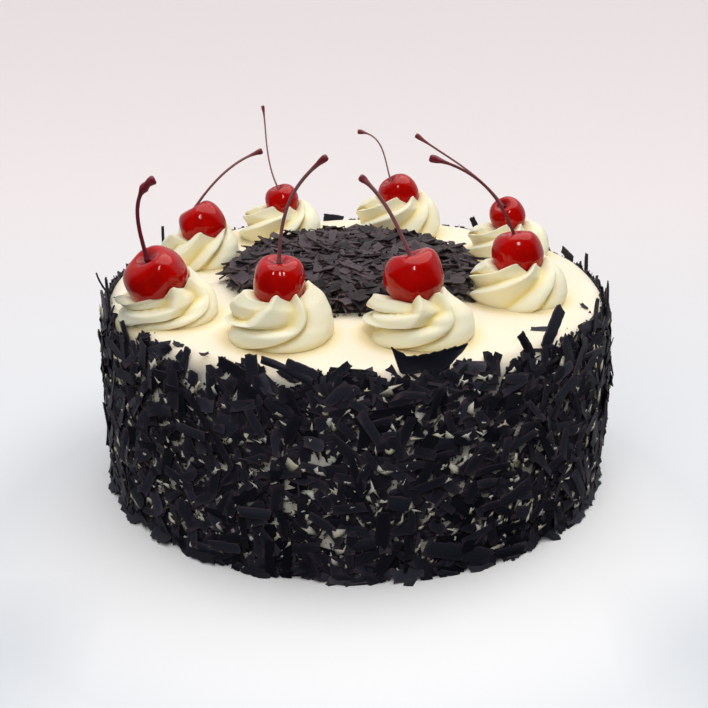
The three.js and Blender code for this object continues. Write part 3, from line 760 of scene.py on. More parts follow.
def large_shavings(material):
    """The shavings that the frame's cake carries, at the same places: the listed planks,
    the side's evenly spread set, the ones that stand over the rim and the ones that lean
    on the foot, each a scraped flake with ragged ends."""
    rng = np.random.default_rng(21)
    finish = dict(steps=10, lanes=4)
    listed = np.array(PLANKS, float)
    i = np.arange(len(listed))
    bearing = np.radians(listed[:, 0])
    planks = flakes(
        rng, on_side(bearing, listed[:, 1], listed[:, 5]),
        wall_axes(bearing, np.radians(listed[:, 4]), np.radians(between(-3, 3, draw(i, 3)))),
        listed[:, 2], listed[:, 3], thickness=1.2, curl=listed[:, 6],
        cup=rng.uniform(-0.4, 0.5, len(i)), taper=0.15 * draw(i, 1), ragged=0.1,
        **finish,
    )
    i = np.arange(WALL_SHAVINGS)
    size = 1 - i / WALL_SHAVINGS
    length = between(10, 19, size) * between(0.85, 1.1, draw(i, 11))
    width = between(3.4, 5.4, draw(i, 12))
    bearing = FULL_TURN * ((0.5 + EVEN_STEPS[0] * i) % 1)
    height = between(8, CAKE_HEIGHT - 12, (0.5 + EVEN_STEPS[1] * i) % 1)
    spin = np.pi * draw(i, 13)
    reach = length / 2 * np.abs(np.sin(spin)) + width / 2
    wall = flakes(
        rng, on_side(bearing, np.maximum(height, reach + 0.5), between(1.6, 4, draw(i, 16))),
        wall_axes(bearing, spin, np.radians(between(-9, 9, draw(i, 17)))),
        length, width, thickness=1.1, curl=rng.uniform(-0.5, 0.8, len(i)),
        cup=rng.uniform(-0.3, 0.4, len(i)), taper=0.2 * draw(i, 14), ragged=0.1,
        **finish,
    )
    i = np.arange(RIM_SHAVINGS)
    bearing = FULL_TURN * (i + 0.8 * draw(i, 23)) / RIM_SHAVINGS
    sink = RIM_SINK * (1 - np.maximum(-np.sin(bearing), 0))
    centre = on_side(bearing, CAKE_HEIGHT - between(2, 6, draw(i, 24)) - sink,
                     between(-0.4, 1.6, draw(i, 25)))
    rim = flakes(
        rng, centre,
        wall_axes(bearing, np.radians(between(15, 165, draw(i, 26))),
                  np.radians(between(-6, 10, draw(i, 27)))),
        between(9, 14, draw(i, 21)), between(2.6, 4.6, draw(i, 22)), thickness=1.1,
        curl=rng.uniform(-0.3, 0.7, len(i)), taper=0.15, ragged=0.12, **finish,
    )
    i = np.arange(FOOT_SHAVINGS)
    bearing = FULL_TURN * (i + 0.7 * draw(i, 53)) / FOOT_SHAVINGS
    centre = on_side(bearing, between(2.2, 3.6, draw(i, 54)), between(1.8, 3, draw(i, 55)))
    foot = flakes(
        rng, centre,
        wall_axes(bearing, np.radians(between(-9, 9, draw(i, 56))),
                  tip=np.radians(between(35, 60, draw(i, 57)))),
        between(9, 16, draw(i, 51)), between(7, 9, draw(i, 52)), thickness=1.1,
        curl=rng.uniform(-0.3, 0.5, len(i)), taper=0.25, ragged=0.13, **finish,
    )
    return chocolate_piece("large_shavings", joined(planks, wall, rim, foot), material)


def front_blade(material):
    """The long blade on the front rim, its two ends drawn up to points. With u from -1 to 1
    along it, and l(s) and r(s) the climbs of -u and u from s, its upper edge is 1.2 +
    3.6 l(0.6) + 2.4 r(-0.55) and its lower edge 9.5 l(0.75)^1.2 + 8.3 r(0.3)^1.2 - 5.2,
    both a little ragged."""
    steps, lanes = 29, 6
    u, v, side = flake_grid(steps, lanes)
    x = BLADE["half"] * u + 0.3 * np.sin(9 * v)
    upper = 1.2 + 3.6 * climb(-u, 0.6) + 2.4 * climb(u, -0.55)
    upper = upper + 0.2 * np.sin(23 * u) + 0.15 * np.sin(41 * u)
    lower = 9.5 * climb(-u, 0.75) ** 1.2 + 8.3 * climb(u, 0.3) ** 1.2 - 5.2
    lower = lower + 0.2 * np.sin(19 * u + 1)
    y = between(lower, upper, (v + 1) / 2)
    z = 0.9 * v**2 - 1.2 * u**2 + 0.25 * np.sin(5 * u + 2 * v)
    rim = np.maximum(np.abs(u), np.abs(v)) ** 6
    z = z + side * 0.55 * (1 - 0.5 * rim)
    local = np.stack(np.broadcast_arrays(x, y, z), -1).reshape(-1, 3)
    bearing = np.radians(np.array([BLADE["bearing"]]))
    axes = wall_axes(bearing, np.zeros(1))[0]
    points = local @ axes.T + on_side(bearing, BLADE["height"], BLADE["out"])
    uv = np.stack(np.broadcast_arrays(x, v * 2.6), -1).reshape(-1, 2) / 10
    marks = {"tone": np.full(len(points), 0.35), "edge": np.broadcast_to(rim, z.shape).ravel()}
    return chocolate_piece("front_blade", (points, flake_faces(steps, lanes), uv, marks),
                           material)


def side_places(rng, count, low, high):
    """Places spread evenly over the side by steps of a golden sequence and moved a little,
    kept where the coat lies: bearings and heights."""
    step = np.arange(count)
    bearing = FULL_TURN * ((rng.random() + EVEN_STEPS[0] * step) % 1 - 0.5)
    bearing = bearing + rng.normal(0, 1.2 / CAKE_RADIUS, count)
    height = between(low, high, (rng.random() + EVEN_STEPS[1] * step) % 1)
    height = np.maximum(height + rng.normal(0, 1.2, count), low)
    keep = rng.random(count) < coat_share(on_side(bearing, height, 0.0))
    keep &= height < rim_edge(bearing)
    return bearing[keep], height[keep]


def under_rim(rng, bearing, height, reach):
    """Heights of flakes lowered where they would stand too far over the rim: a drawn part
    of 6 mm in front, not at all at the sides and back, and clear of the ground."""
    room = between(*RIM_ROOM, np.maximum(-np.sin(bearing), 0) ** 2)
    limit = CAKE_HEIGHT + room * rng.random(len(bearing)) - reach
    return np.maximum(np.minimum(height, limit), reach + 0.4)


def coat_layer(name, seed, count, length, width, out, sway, steps, material):
    """A layer of flakes over the whole side, in any direction. Length, width and distance
    from the cream are each drawn between two bounds, and sway is how far the flakes lean
    off flat, in radians."""
    rng = np.random.default_rng(seed)
    bearing, height = side_places(rng, count, 0.5, CAKE_HEIGHT + 2.5)
    count = len(bearing)
    length = between(*length, rng.beta(1.5, 2.6, count))
    width = between(*width, rng.beta(1.8, 2.4, count))
    spin = rng.uniform(0, np.pi, count)
    reach = length / 2 * np.abs(np.sin(spin)) + width / 2 * np.abs(np.cos(spin))
    height = under_rim(rng, bearing, height, reach)
    out = rng.uniform(*out, count)
    over = smooth_step(CAKE_HEIGHT - 7, CAKE_HEIGHT + 3, height + 0.6 * reach)
    centre = on_side(bearing, height, between(out, 0.4 * out - 1.5, over))
    axes = wall_axes(bearing, spin, rng.normal(0, sway / 2, count),
                     rng.normal(0, sway, count), 0.6 * over)
    keep = clear_of_rosettes(centre, 2.0)
    count = keep.sum()
    batch = flakes(
        rng, centre[keep], axes[keep], length[keep], width[keep],
        thickness=rng.uniform(0.6, 1.1, count), curl=rng.uniform(-0.5, 0.6, count),
        cup=rng.uniform(-0.3, 0.4, count), twist=rng.uniform(-0.3, 0.3, count),
        taper=rng.uniform(0, 0.25, count), ragged=0.17, steps=steps,
    )
    return chocolate_piece(name, batch, material)


def foot_flakes(material):
    """Flakes that have slipped down and lie against the foot, faces tipped up."""
    rng = np.random.default_rng(43)
    count = 460
    bearing = rng.uniform(-np.pi, np.pi, count)
    out = rng.uniform(0.5, 4.2, count)
    height = 1.2 + (4.2 - out) * rng.uniform(0.4, 1.6, count)
    batch = flakes(
        rng, on_side(bearing, height, out),
        wall_axes(bearing, rng.normal(0, 0.8, count), tip=rng.uniform(-0.1, 0.7, count)),
        rng.uniform(4, 12, count), rng.uniform(1.6, 4.5, count),
        thickness=rng.uniform(0.6, 1.1, count), curl=rng.uniform(-0.5, 0.7, count),
        taper=rng.uniform(0, 0.3, count), ragged=0.2, tone=0.4 * rng.random(count),
    )
    return chocolate_piece("foot_flakes", batch, material)


def cream_dabs(material):
    """Cream pressed out between the flakes, most of it low down in front: thin stars,
    each a ring of nine corners, some drawn far out and the others near the raised
    middle."""
    rng = np.random.default_rng(47)
    corners = 9
    bearing = rng.uniform(-np.pi, np.pi, 4200)
    height = rng.uniform(3, CAKE_HEIGHT - 4, len(bearing))
    share = between(0.8, 0.3, height / CAKE_HEIGHT) + 0.25 * waves(
        on_side(bearing, height, 0.0), 20, 48)
    share *= 0.6 + 0.6 * np.exp(-((np.degrees(bearing) + 90) / 22) ** 2)
    keep = rng.random(len(bearing)) < share
    bearing, height = bearing[keep], height[keep]
    count = len(bearing)
    turn = (np.arange(corners) + rng.uniform(-0.3, 0.3, (count, corners))) * FULL_TURN / corners
    arm = rng.random((count, corners)) < 0.35
    reach = np.where(arm, rng.uniform(0.6, 1.5, arm.shape), rng.uniform(0.15, 0.4, arm.shape))
    reach = reach * rng.gamma(4, 0.6, (count, 1)).clip(0.8, 4.2)
    ring = np.stack([reach * np.cos(turn), 0.7 * reach * np.sin(turn), 0 * reach], -1)
    middle = np.broadcast_to([[0, 0, 0.45], [0, 0, -0.8]], (count, 2, 3))
    axes = wall_axes(bearing, rng.uniform(0, np.pi, count))
    centre = on_side(bearing, height, rng.uniform(0.8, 3.0, count))
    local = np.concatenate([ring, middle], axis=1)
    points = np.einsum("nij,npj->npi", axes, local) + centre[:, None, :]
    low = np.arange(corners)
    after = (low + 1) % corners
    front = np.stack([low, after, np.full(corners, corners)], -1)
    back = np.stack([after, low, np.full(corners, corners + 1)], -1)
    faces = for_each(np.concatenate([front, back]), count, corners + 2)
    shade_and_tone = np.repeat(0.6 * rng.random(count), corners + 2)
    return make_piece("cream_dabs", points.reshape(-1, 3), [faces], material,
                      marks={"shade_and_tone": shade_and_tone})


def loose_flakes(material):
    """The listed scraps round the rim, each a short curled flake turned by its bearing,
    then its pitch, then its roll."""
    listed = np.array(LOOSE_FLAKES)
    rng = np.random.default_rng(91)
    bearing, pitch, roll = np.radians(listed[:, 5:].T)
    axes = rotations(2, bearing) @ rotations(1, -pitch) @ rotations(0, roll)
    batch = flakes(
        rng, listed[:, :3], axes, listed[:, 3], listed[:, 4], thickness=0.7,
        curl=rng.uniform(-0.2, 0.6, len(listed)), cup=rng.uniform(0, 0.5, len(listed)),
        taper=0.3, ragged=0.25, steps=6,
    )
    return chocolate_piece("loose_flakes", batch, material)


def side_splinters(material):
    """Thin slivers between the flakes."""
    rng = np.random.default_rng(37)
    bearing, height = side_places(rng, 2600, 0.5, CAKE_HEIGHT + 2.5)
    count = len(bearing)
    length = rng.uniform(2, 6.5, count)
    spin = rng.uniform(0, np.pi, count)
    height = under_rim(rng, bearing, height, length / 2 * np.abs(np.sin(spin)))
    out = rng.uniform(0.1, 2.6, count)
    over = smooth_step(CAKE_HEIGHT - 5, CAKE_HEIGHT + 2, height)
    centre = on_side(bearing, height, between(out, 0.4 * out - 2.0, over))
    axes = wall_axes(bearing, spin, rng.normal(0, 0.1, count), rng.normal(0, 0.3, count))
    keep = clear_of_rosettes(centre, 1.5)
    batch = flakes(
        rng, centre[keep], axes[keep], length[keep], rng.uniform(0.6, 1.7, keep.sum()),
        thickness=0.6, curl=rng.uniform(-0.5, 0.5, keep.sum()),
        taper=rng.uniform(0, 0.7, keep.sum()), ragged=0.3, steps=3, lanes=2,
    )
    return chocolate_piece("side_splinters", batch, material)


def side_crumbs(material):
    """Crumbs pressed into the cream between the flakes, and a few on the rim."""
    rng = np.random.default_rng(41)
    bearing, height = side_places(rng, 14000, 0.6, CAKE_HEIGHT + 0.5)
    size = rng.gamma(3.0, 0.22, len(bearing)).clip(0.3, 1.6)
    centre = on_side(bearing, height, rng.uniform(-0.2, 1.0, len(bearing)))
    inside = smooth_step(CAKE_HEIGHT - 6, CAKE_HEIGHT, height)
    centre[:, :2] *= (1 - inside * rng.uniform(0.0, 0.05, len(bearing)))[:, None]
    centre[:, 2] = np.maximum(centre[:, 2], size)
    keep = clear_of_rosettes(centre, 1.0)
    keep &= (inside < 0.5) | (rng.random(len(bearing)) < 0.5 * np.maximum(-np.sin(bearing), 0))
    return chocolate_piece("side_crumbs", crumbs(rng, centre[keep], size[keep]), material)


def bed_edge(angle):
    """Radius of the bed at each bearing, ragged, and drawn in at one dent as a bell curve
    of the bearing."""
    ring = polar(BED_RADIUS, angle, 0.0)
    away = (np.degrees(angle) % 360 - BED_DENT["bearing"]) / BED_DENT["width"]
    ragged = 1.6 * waves(ring, 22, 51) + 0.9 * waves(ring, 7, 52)
    return BED_RADIUS * 0.97 - BED_DENT["depth"] * np.exp(-(away**2)) + ragged


def bed_heap(material):
    """The heap under the bed's flakes: a low mound, rise = edge + (crown - edge)(1 -
    reach²), that falls to its ragged edge as the root of what is left of the reach, with
    lumps."""
    columns = 220
    angle = turns(columns)
    reach = np.concatenate([[1.0], np.linspace(1, 0, 46)])[:, None]
    fall = np.sqrt(np.clip((1 - reach) / (1 - BED_EDGE_SHARE), 0, 1))
    rise = between(BED_EDGE - 1, BED_CROWN - 1, 1 - reach**2) * fall
    radius = bed_edge(angle)[None] * reach * 0.96
    flat = polar(radius, angle, rise, BED_X, BED_Y)
    lumps = (0.8 * waves(flat, 9, 53) + 0.4 * waves(flat, 4, 54)) * (rise > 0)
    flat[..., 2] = CAKE_HEIGHT + GAP + np.maximum(flat[..., 2] + lumps, 0.2 * (rise > 0))
    for topping in TOPPINGS:
        rosette = topping["rosette"]
        away = flat[..., :2] - np.array([rosette["x"], rosette["y"]])
        distance = np.linalg.norm(away, axis=-1, keepdims=True)
        room = rosette["radius"] + 0.6
        pushed = np.array([rosette["x"], rosette["y"]]) + away / distance * room
        flat[..., :2] = np.where(distance < room, pushed, flat[..., :2])
    base = np.broadcast_to([BED_X, BED_Y, CAKE_HEIGHT + GAP], (1, columns, 3))
    points, faces = round_form(np.concatenate([base, flat]))
    uv = points[:, :2] / 10
    marks = {"tone": 0.5 + 0.5 * waves(points, 6, 55).clip(-1, 1), "edge": np.zeros(len(points))}
    return make_piece("bed_heap", points, faces, material, "chocolate_bed",
                      uv=uv, marks=marks)


def bed_places(rng, count, spread=1.0):
    """Drawn places over the bed: x, y and the height of the heap there, the share of the
    radius, and the axes of flakes that lie there any way round, tipped down its slope."""
    angle = rng.uniform(0, FULL_TURN, count)
    reach = np.sqrt(rng.random(count)) * spread
    radius = bed_edge(angle) * reach
    fall = np.sqrt(np.clip((1.05 - reach) / (1.05 - BED_EDGE_SHARE), 0, 1))
    rise = between(BED_EDGE, BED_CROWN, 1 - np.minimum(reach, 1) ** 2) * fall
    centre = polar(radius, angle, CAKE_HEIGHT + GAP + rise, BED_X, BED_Y)
    tip = 0.7 * smooth_step(0.8, 1, reach) * rng.uniform(0.4, 1, count)
    axes = rotations(2, angle) @ rotations(1, tip) @ rotations(
        2, rng.uniform(0, FULL_TURN, count))
    return centre, reach, axes


def bed_flakes(material):
    """Flakes that lie on the heap, nearly along its slope."""
    rng = np.random.default_rng(61)
    centre, _, axes = bed_places(rng, 620)
    count = len(centre)
    length = rng.uniform(8, 26, count)
    centre[:, 2] += rng.uniform(-1.2, 0.9, count)
    axes = axes @ rotations(1, rng.normal(0, 0.07, count)) @ rotations(
        0, rng.normal(0, 0.19, count))
    keep = clear_of_rosettes(centre, 1.0 + 0.18 * length)
    batch = flakes(
        rng, centre[keep], axes[keep], length[keep], rng.uniform(2.5, 7, keep.sum()),
        thickness=0.9, curl=rng.uniform(-0.5, 1.5, keep.sum()),
        cup=rng.uniform(-0.5, 0.6, keep.sum()), twist=rng.uniform(-0.7, 0.7, keep.sum()),
        taper=rng.uniform(0, 0.4, keep.sum()), ragged=0.2, steps=6,
    )
    return chocolate_piece("bed_flakes", batch, material, BED_GROUND)


def bed_splinters(material):
    """Slivers over the bed and round its edge."""
    rng = np.random.default_rng(67)
    centre, _, axes = bed_places(rng, 900, 1.04)
    count = len(centre)
    centre[:, 2] += rng.uniform(-0.6, 1.1, count)
    axes = axes @ rotations(1, rng.normal(0, 0.2, count)) @ rotations(
        0, rng.normal(0, 0.6, count))
    keep = clear_of_rosettes(centre, 2.0)
    batch = flakes(
        rng, centre[keep], axes[keep], rng.uniform(2.5, 8, keep.sum()),
        rng.uniform(0.6, 1.6, keep.sum()), thickness=0.6,
        taper=rng.uniform(0, 0.6, keep.sum()), ragged=0.3, steps=3, lanes=2,
    )
    return chocolate_piece("bed_splinters", batch, material, BED_GROUND)


def bed_crumbs(material):
    """Crumbs over the bed and scattered just outside it."""
    rng = np.random.default_rng(71)
    centre, reach, _ = bed_places(rng, 2600, 1.06)
    size = rng.gamma(3.0, 0.22, len(centre)).clip(0.3, 1.3)
    centre[:, 2] = np.where(reach > 1.02, CAKE_HEIGHT + 0.6 * size, centre[:, 2] + 0.3)
    keep = clear_of_rosettes(centre, 0.8)
    return chocolate_piece("bed_crumbs", crumbs(rng, centre[keep], size[keep]), material)


def petal_forms(rosette, rise):
    """For each rise (row) and column of a rosette: its bearing, the width of its petal, how
    far it stands out from 0 in a crease to 1 on a ridge, and its turn past the crease. A
    ridge's bearing is its tip's less the sweep times (1 - rise)^bend, and less the wrap.
    With s from 0 at a ridge to 1 at the next and the crease at c, the hollow face is
    (1 - s / c)^1.25 and the swell that follows is 1 - (1 - r)^2.5, r going from 0 at the
    crease to 1."""
    tips = np.radians(np.array(rosette["tips"], float))
    swirl = SWIRLS[rosette["swirl"]]
    ridges = tips - np.radians(swirl["sweeps"]) * (1 - rise) ** np.array(swirl["bends"])
    wrap, start, finish = rosette.get("wrap", swirl["wrap"])
    ridges[:, 1:2] -= math.radians(wrap) * (1 - smooth_step(start, finish, rise))
    after = np.concatenate([ridges[:, 1:], ridges[:, :1] + FULL_TURN], axis=1)
    turn = turns(ROSETTE_COLUMNS)
    petal = np.searchsorted(tips - tips[0], turn, side="right") - 1
    s = (turn + tips[0] - tips[petal]) / (after[-1] - ridges[-1])[petal]
    wide = (after - ridges)[:, petal]
    crease = between(np.array(swirl["low"])[petal], np.array(swirl["high"])[petal],
                     smooth_step(*rosette.get("shift", swirl["shift"]), rise))
    falling = np.clip(1 - s / crease, 0, 1) ** 1.25
    rising = 1 - (1 - np.clip((s - crease) / (1 - crease), 0, 1)) ** 2.5
    swell = np.where(s < crease, falling, rising)
    for _ in range(2):
        swell = (np.roll(swell, 1, axis=1) + 2 * swell + np.roll(swell, -1, axis=1)) / 4
    return ridges[:, petal] + s * wide, wide, swell, (s - crease) * wide


def rosette_swirl(number, rosette, cherry, material):
    """Piped swirl of ridges, one for each petal tip, over a rounded foot. The first petal's
    tip leans out and stays lower. Over the crown the form dips into a cup that follows the
    cherry's underside."""
    x, y, radius, height = (rosette[key] for key in ("x", "y", "radius", "height"))
    rise = np.linspace(0, 1, ROSETTE_ROWS)[:, None]
    bearing, wide, swell, past_crease = petal_forms(rosette, rise)
    crown = cherry["radius"] + PETAL_LIP
    # The profile's corners are rounded by a bell 61 of its 400 steps wide.
    fine = np.linspace(0, 1, 400)
    profile = np.interp(fine, PETAL_SHARES, np.array([*PETAL_REACHES, crown / radius]) * radius)
    kernel = np.hanning(61)
    soft = np.convolve(np.pad(profile, 30, "edge"), kernel / kernel.sum(), "valid")
    reach = np.interp(rise, fine, soft)
    depth = PETAL_DEPTH * np.sqrt(wide * len(rosette["tips"]) / FULL_TURN) * between(
        0.6, 1.0, smooth_step(0, 0.3, rise)) * between(1.0, 0.85, smooth_step(0.7, 1, rise))
    angle = bearing + 0.05 * swell**3
    first = rise**3 * np.maximum(np.cos(angle - math.radians(rosette["tips"][0])), 0) ** 4
    ring = reach * (1 - depth * (1 - swell)) + FIRST_FLARE * first
    top = smooth_step(0.6, 1.0, rise)
    z = height * rise - FIRST_DROP * first
    z = z - CROWN_JAG * (1 - swell) * top + 0.6 * swell**6 * top**3
    px = x + (cherry["x"] - x) * rise**2 + ring * np.cos(angle)
    py = y + (cherry["y"] - y) * rise**2 + ring * np.sin(angle)
    slope = rosette.get("slope", (0, 0))
    z = z + rise * (slope[0] * (px - x) + slope[1] * (py - y))
    outer = np.stack([px, py, z], -1)
    outer += 0.35 * waves(outer, 14, 80 + number)[..., None] * rise[..., None] * [1, 1, 0.6]
    # The cup: down along the cherry's underside to its lowest point.
    fit = cherry["radius"] + 0.5
    rim_z = outer[-1, :, 2] - 0.7
    sunk = np.clip((cherry["z"] - rim_z) / (cherry["squat"] * fit), -0.4, 0.95)
    start = np.arcsin(sunk)[None]
    q = np.linspace(0, 1, 12)[:, None]
    below = start + (np.pi / 2 - start) * q
    inner = polar(fit * np.cos(below), angle[-1],
                  cherry["z"] - cherry["squat"] * fit * np.sin(below), cherry["x"], cherry["y"])
    rings = np.concatenate([np.broadcast_to([x, y, 0.0], (1, *outer.shape[1:])), outer, inner])
    past = np.hypot(rings[..., 0], rings[..., 1]) - (CAKE_RADIUS - RIM_ROUND)
    drop = RIM_ROUND - np.sqrt(np.clip(RIM_ROUND**2 - np.maximum(past, 0) ** 2, 0, None))
    low = np.concatenate([[1.0], (1 - smooth_step(0, 0.35, rise))[:, 0], np.zeros(len(q))])
    # The foot sinks a little into the cream under it, so that the two join without a gap.
    rings[..., 2] += CAKE_HEIGHT + GAP - (drop + 2 * GAP) * low[:, None]
    # Painted shade: yellower, darker cream gathers before each crease and fades four times
    # as fast past it, and at the foot.
    crease = np.exp(-np.where(past_crease > 0, 4, -1) * past_crease / 0.22)
    crease = crease * (1 - 0.5 * smooth_step(0.5, 1, rise))
    under = np.exp(-rise / 0.05)
    shade_and_tone = np.concatenate([
        np.zeros((1, ROSETTE_COLUMNS)),
        np.maximum(0.85 * crease, 0.6 * under),
        np.broadcast_to(0.3, (len(q), ROSETTE_COLUMNS)),
    ])
    points, faces = round_form(rings)
    return make_piece(f"rosette_swirl_{number}", points, faces, material,
                      f"rosette_{number}", marks={"shade_and_tone": ring_marks(shade_and_tone)})


def cherry_fruit(number, cherry, material):
    """Cherry: latitude runs from pole to pole, the reach is cos(latitude)^0.85 below and
    the cosine to the cherry's own power above, and the height sin(latitude) times the
    squat, less a round dimple at the top, with a soft shoulder and a shallow seam from the
    dimple down one side."""
    radius, squat = cherry["radius"], cherry["squat"]
    turn, _ = turn_to(cherry["lean"])
    shoulder, swell = cherry.get("shoulder", (0, 0))
    angle = turns(CHERRY_COLUMNS)[None]
    latitude = np.linspace(-0.5, 0.5, CHERRY_ROWS)[:, None] * np.pi
    upper = latitude > 0
    power = np.where(upper, cherry.get("square", 0.7), UNDERSIDE)
    wide = np.cos(latitude).clip(0) ** power
    side = np.maximum(np.cos(angle - math.radians(shoulder)), 0)
    dimple = np.exp(-((wide / DIMPLE_WIDTH) ** 2)) * upper
    raised = upper * swell * side * wide * np.sin(latitude) * 2
    high = squat * (np.sin(latitude) - DIMPLE_DEPTH * dimple + raised)
    seam_at, groove = cherry.get("seam", (90, 0.05))
    away = np.angle(np.exp(1j * (angle - math.radians(seam_at))))
    seam = np.exp(-((away / 0.22) ** 2)) * smooth_step(-0.6, 0.9, latitude)
    reach = radius * wide * (1 - groove * seam)
    local = polar(reach, angle, radius * high)
    local *= (1 + 0.03 * waves(local, 15, 100 + number))[..., None]
    local[0] = local[0, :1]
    local[-1] = local[-1, :1]
    rings = local @ turn.T + [cherry["x"], cherry["y"], CAKE_HEIGHT + cherry["z"]]
    points, faces = round_form(rings)
    deep = np.broadcast_to(dimple**1.5, rings.shape[:2])
    return make_piece(f"cherry_fruit_{number}", points, faces, material,
                      f"cherry_{number}", marks={"dimple": ring_marks(deep)})


def stem_stalk(number, cherry, stem, material):
    """Stalk: a tube along a cubic curve out of the dimple. Its radius tapers from a
    swollen root and grows to a lumpy knob at the cut end."""
    _, axis = turn_to(cherry["lean"])
    lift = cherry["radius"] * cherry["squat"] * (1 - DIMPLE_DEPTH) + GAP + stem["radius"] / 3
    root = np.array([cherry["x"], cherry["y"], CAKE_HEIGHT + cherry["z"]]) + axis * lift
    a, b, c = (root + np.array(step, float) for step in stem["curve"])
    t = np.linspace(0, 1, STEM_STEPS)[:, None]
    line = (1 - t) ** 3 * root + 3 * t * (1 - t) ** 2 * a + 3 * t**2 * (1 - t) * b + t**3 * c
    ahead = np.gradient(line, axis=0)
    ahead /= np.linalg.norm(ahead, axis=1, keepdims=True)
    flat = np.cross(ahead[0], ahead[-1])
    flat /= np.linalg.norm(flat)
    first = np.cross(flat, ahead)
    first /= np.linalg.norm(first, axis=1, keepdims=True)
    second = np.cross(ahead, first)
    angle = turns(STEM_SIDES)[None]
    start = stem.get("knob_start", KNOB_START)
    knob = smooth_step(start, start + KNOB_SPAN, t)
    thick = stem["radius"] * (1 + 0.35 * np.exp(-t / 0.04) - 0.12 * np.sin(np.pi * t))
    thick = between(thick, stem["knob"], knob) * (1 - 0.25 * smooth_step(0.985, 1, t))
    rough = 1 + 0.05 * np.sin(3 * angle + 9 * t) + knob * 0.16 * np.sin(2 * angle + 40 * t)
    ring = thick * rough
    tube = line[:, None] + first[:, None] * (ring * np.cos(angle))[..., None]
    tube = tube + second[:, None] * (ring * np.sin(angle))[..., None]
    ends = np.broadcast_to(line[[0, -1]][:, None], (2, *tube.shape[1:]))
    rings = np.concatenate([ends[:1], tube, ends[1:]])
    points, faces = round_form(rings)
    cut = np.concatenate([[0.0], 0.85 * knob[:, 0], [0.4]])
    cut = np.broadcast_to(cut[:, None], rings.shape[:2])
    along = np.concatenate([[0.0], t[:, 0], [1.0]])[:, None]
    uv = np.stack(np.broadcast_arrays(along * 4, np.abs(angle - np.pi) / np.pi), -1)
    uv = np.concatenate([uv[0, :1], uv[1:-1].reshape(-1, 2), uv[-1, :1]])
    pale = np.full(len(points), float(stem.get("pale", 0.5)))
    return make_piece(f"stem_stalk_{number}", points, faces, material,
                      f"stem_{number}", uv=uv, marks={"cut": ring_marks(cut), "pale": pale})


# ---------------------------------------------------------------- studio


def floor(material):
    """Level board, far wider than the view."""
    mesh = bpy.data.meshes.new("studio_floor")
    side = 6.0
    corners = [(-side, -side, 0), (side, -side, 0), (side, side, 0), (-side, side, 0)]
    mesh.from_pydata(corners, [], [(0, 1, 2, 3)])
    mesh.materials.append(material)
    piece = bpy.data.objects.new("studio_floor", mesh)
    bpy.context.scene.collection.objects.link(piece)
    piece.visible_diffuse = False
    piece.visible_glossy = False


def area_light(name, place, aim, size, watts, tint):
    """A rectangular soft light at a place, facing the point it aims at. Metres."""
    lamp = bpy.data.lights.new(name, "AREA")
    lamp.shape = "RECTANGLE"
    lamp.size, lamp.size_y = size
    lamp.energy = watts
    lamp.color = linear(tint)[:3]
    made = bpy.data.objects.new(name, lamp)
    bpy.context.scene.collection.objects.link(made)
    made.location = place
    toward = Vector(aim) - Vector(place)
    made.rotation_euler = toward.to_track_quat("-Z", "Y").to_euler()
    return made


def ceiling_light():
    """Broad even light from above and a little behind, as from a lit ceiling."""
    lamp = bpy.data.lights.new("ceiling_light", "SUN")
    lamp.energy = 2.1
    lamp.angle = math.radians(72)
    lamp.color = linear("#fefbf4")[:3]
    made = bpy.data.objects.new("ceiling_light", lamp)
    bpy.context.scene.collection.objects.link(made)
    made.rotation_euler = (math.radians(-16), math.radians(11), 0)


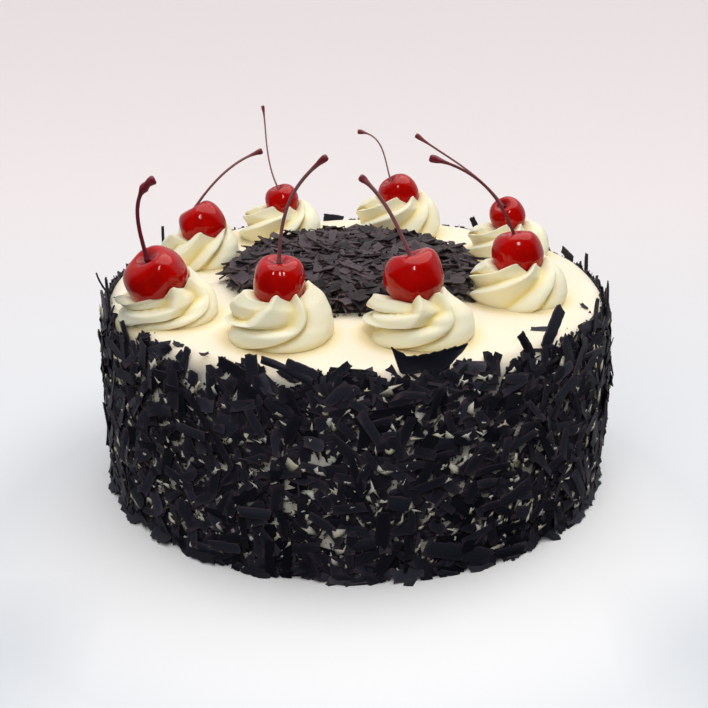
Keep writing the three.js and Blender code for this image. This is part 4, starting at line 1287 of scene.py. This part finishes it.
def studio():
    """Soft light from above, a small window high in front, a weak fill in front that
    leaves no reflection, and a surround that is pale overhead and behind and dim in
    front."""
    scene = bpy.context.scene
    world = bpy.data.worlds.new("pale_surround")
    world.use_nodes = True
    tree = world.node_tree
    way = add_node(tree, "ShaderNodeTexCoord").outputs["Generated"]
    behind = add_node(tree, "ShaderNodeVectorMath", {"operation": "DOT_PRODUCT"},
                      {0: way, 1: (0.0, 0.9, 0.44)}).outputs["Value"]
    sky = ramp(tree, behind, 0.0, 0.3)
    feed(tree, tree.nodes["Background"],
         {"Color": blend(tree, sky, "#40424a", "#eef1f8"), "Strength": 0.6})
    scene.world = world
    ceiling_light()
    area_light("front_window", (0.0, -0.98, 1.22), (0, 0, 0.1), (0.14, 0.42), 4.6, "#ffffff")
    fill = area_light("front_fill", (-0.5, -1.5, 0.9), (0, 0, 0.1), (1.2, 0.8), 8.5, "#fffcf6")
    fill.visible_glossy = False
    scene.view_settings.view_transform = "Standard"
    camera = bpy.data.objects.new("camera", bpy.data.cameras.new("camera"))
    camera.data.sensor_width = 36
    camera.data.lens = CAMERA_LENS
    camera.data.clip_start = 0.01
    camera.location = Vector(CAMERA_PLACE) * MM
    camera.rotation_euler = (math.radians(CAMERA_PITCH), 0, 0)
    scene.collection.objects.link(camera)
    scene.camera = camera


studio()
floor(studio_floor("painted_board"))
spread_cream = whipped_cream("whipped_cream_spread", "#f4ead8", "#efdda9")
# Painted shade: the cream pressed out on the side is a greyer, darker copy of the cream.
wall_cream = whipped_cream("whipped_cream_pressed_shaded", "#d0cdc3", "#bcb394")
piped_cream = whipped_cream("whipped_cream_piped", "#f9f6e1", "#eed87f")
side_chocolate = shaved_chocolate("dark_chocolate_shaved", "#13141b", "#31323e", "#56484e")
bed_chocolate = shaved_chocolate("dark_chocolate_bed", "#141013", "#4a3f46", "#62504e")
fruit_skin = candied_cherry("cherry_in_syrup")
stalk_bark = cherry_stalk("cherry_stalk")
cream_body(spread_cream)
large_shavings(side_chocolate)
front_blade(side_chocolate)
coat_layer("under_flakes", 31, 3500, (3.5, 12), (1.8, 4.4), (0, 1.3), 0.12, 3, side_chocolate)
coat_layer("side_flakes", 32, 1500, (7, 21), (2.6, 5.8), (1.2, 2.8), 0.18, 4, side_chocolate)
foot_flakes(side_chocolate)
cream_dabs(wall_cream)
side_splinters(side_chocolate)
loose_flakes(side_chocolate)
side_crumbs(side_chocolate)
bed_heap(bed_chocolate)
bed_flakes(bed_chocolate)
bed_splinters(bed_chocolate)
bed_crumbs(bed_chocolate)
for number, topping in enumerate(TOPPINGS, 1):
    rosette_swirl(number, topping["rosette"], topping["cherry"], piped_cream)
    cherry_fruit(number, topping["cherry"], fruit_skin)
    stem_stalk(number, topping["cherry"], topping["stem"], stalk_bark)
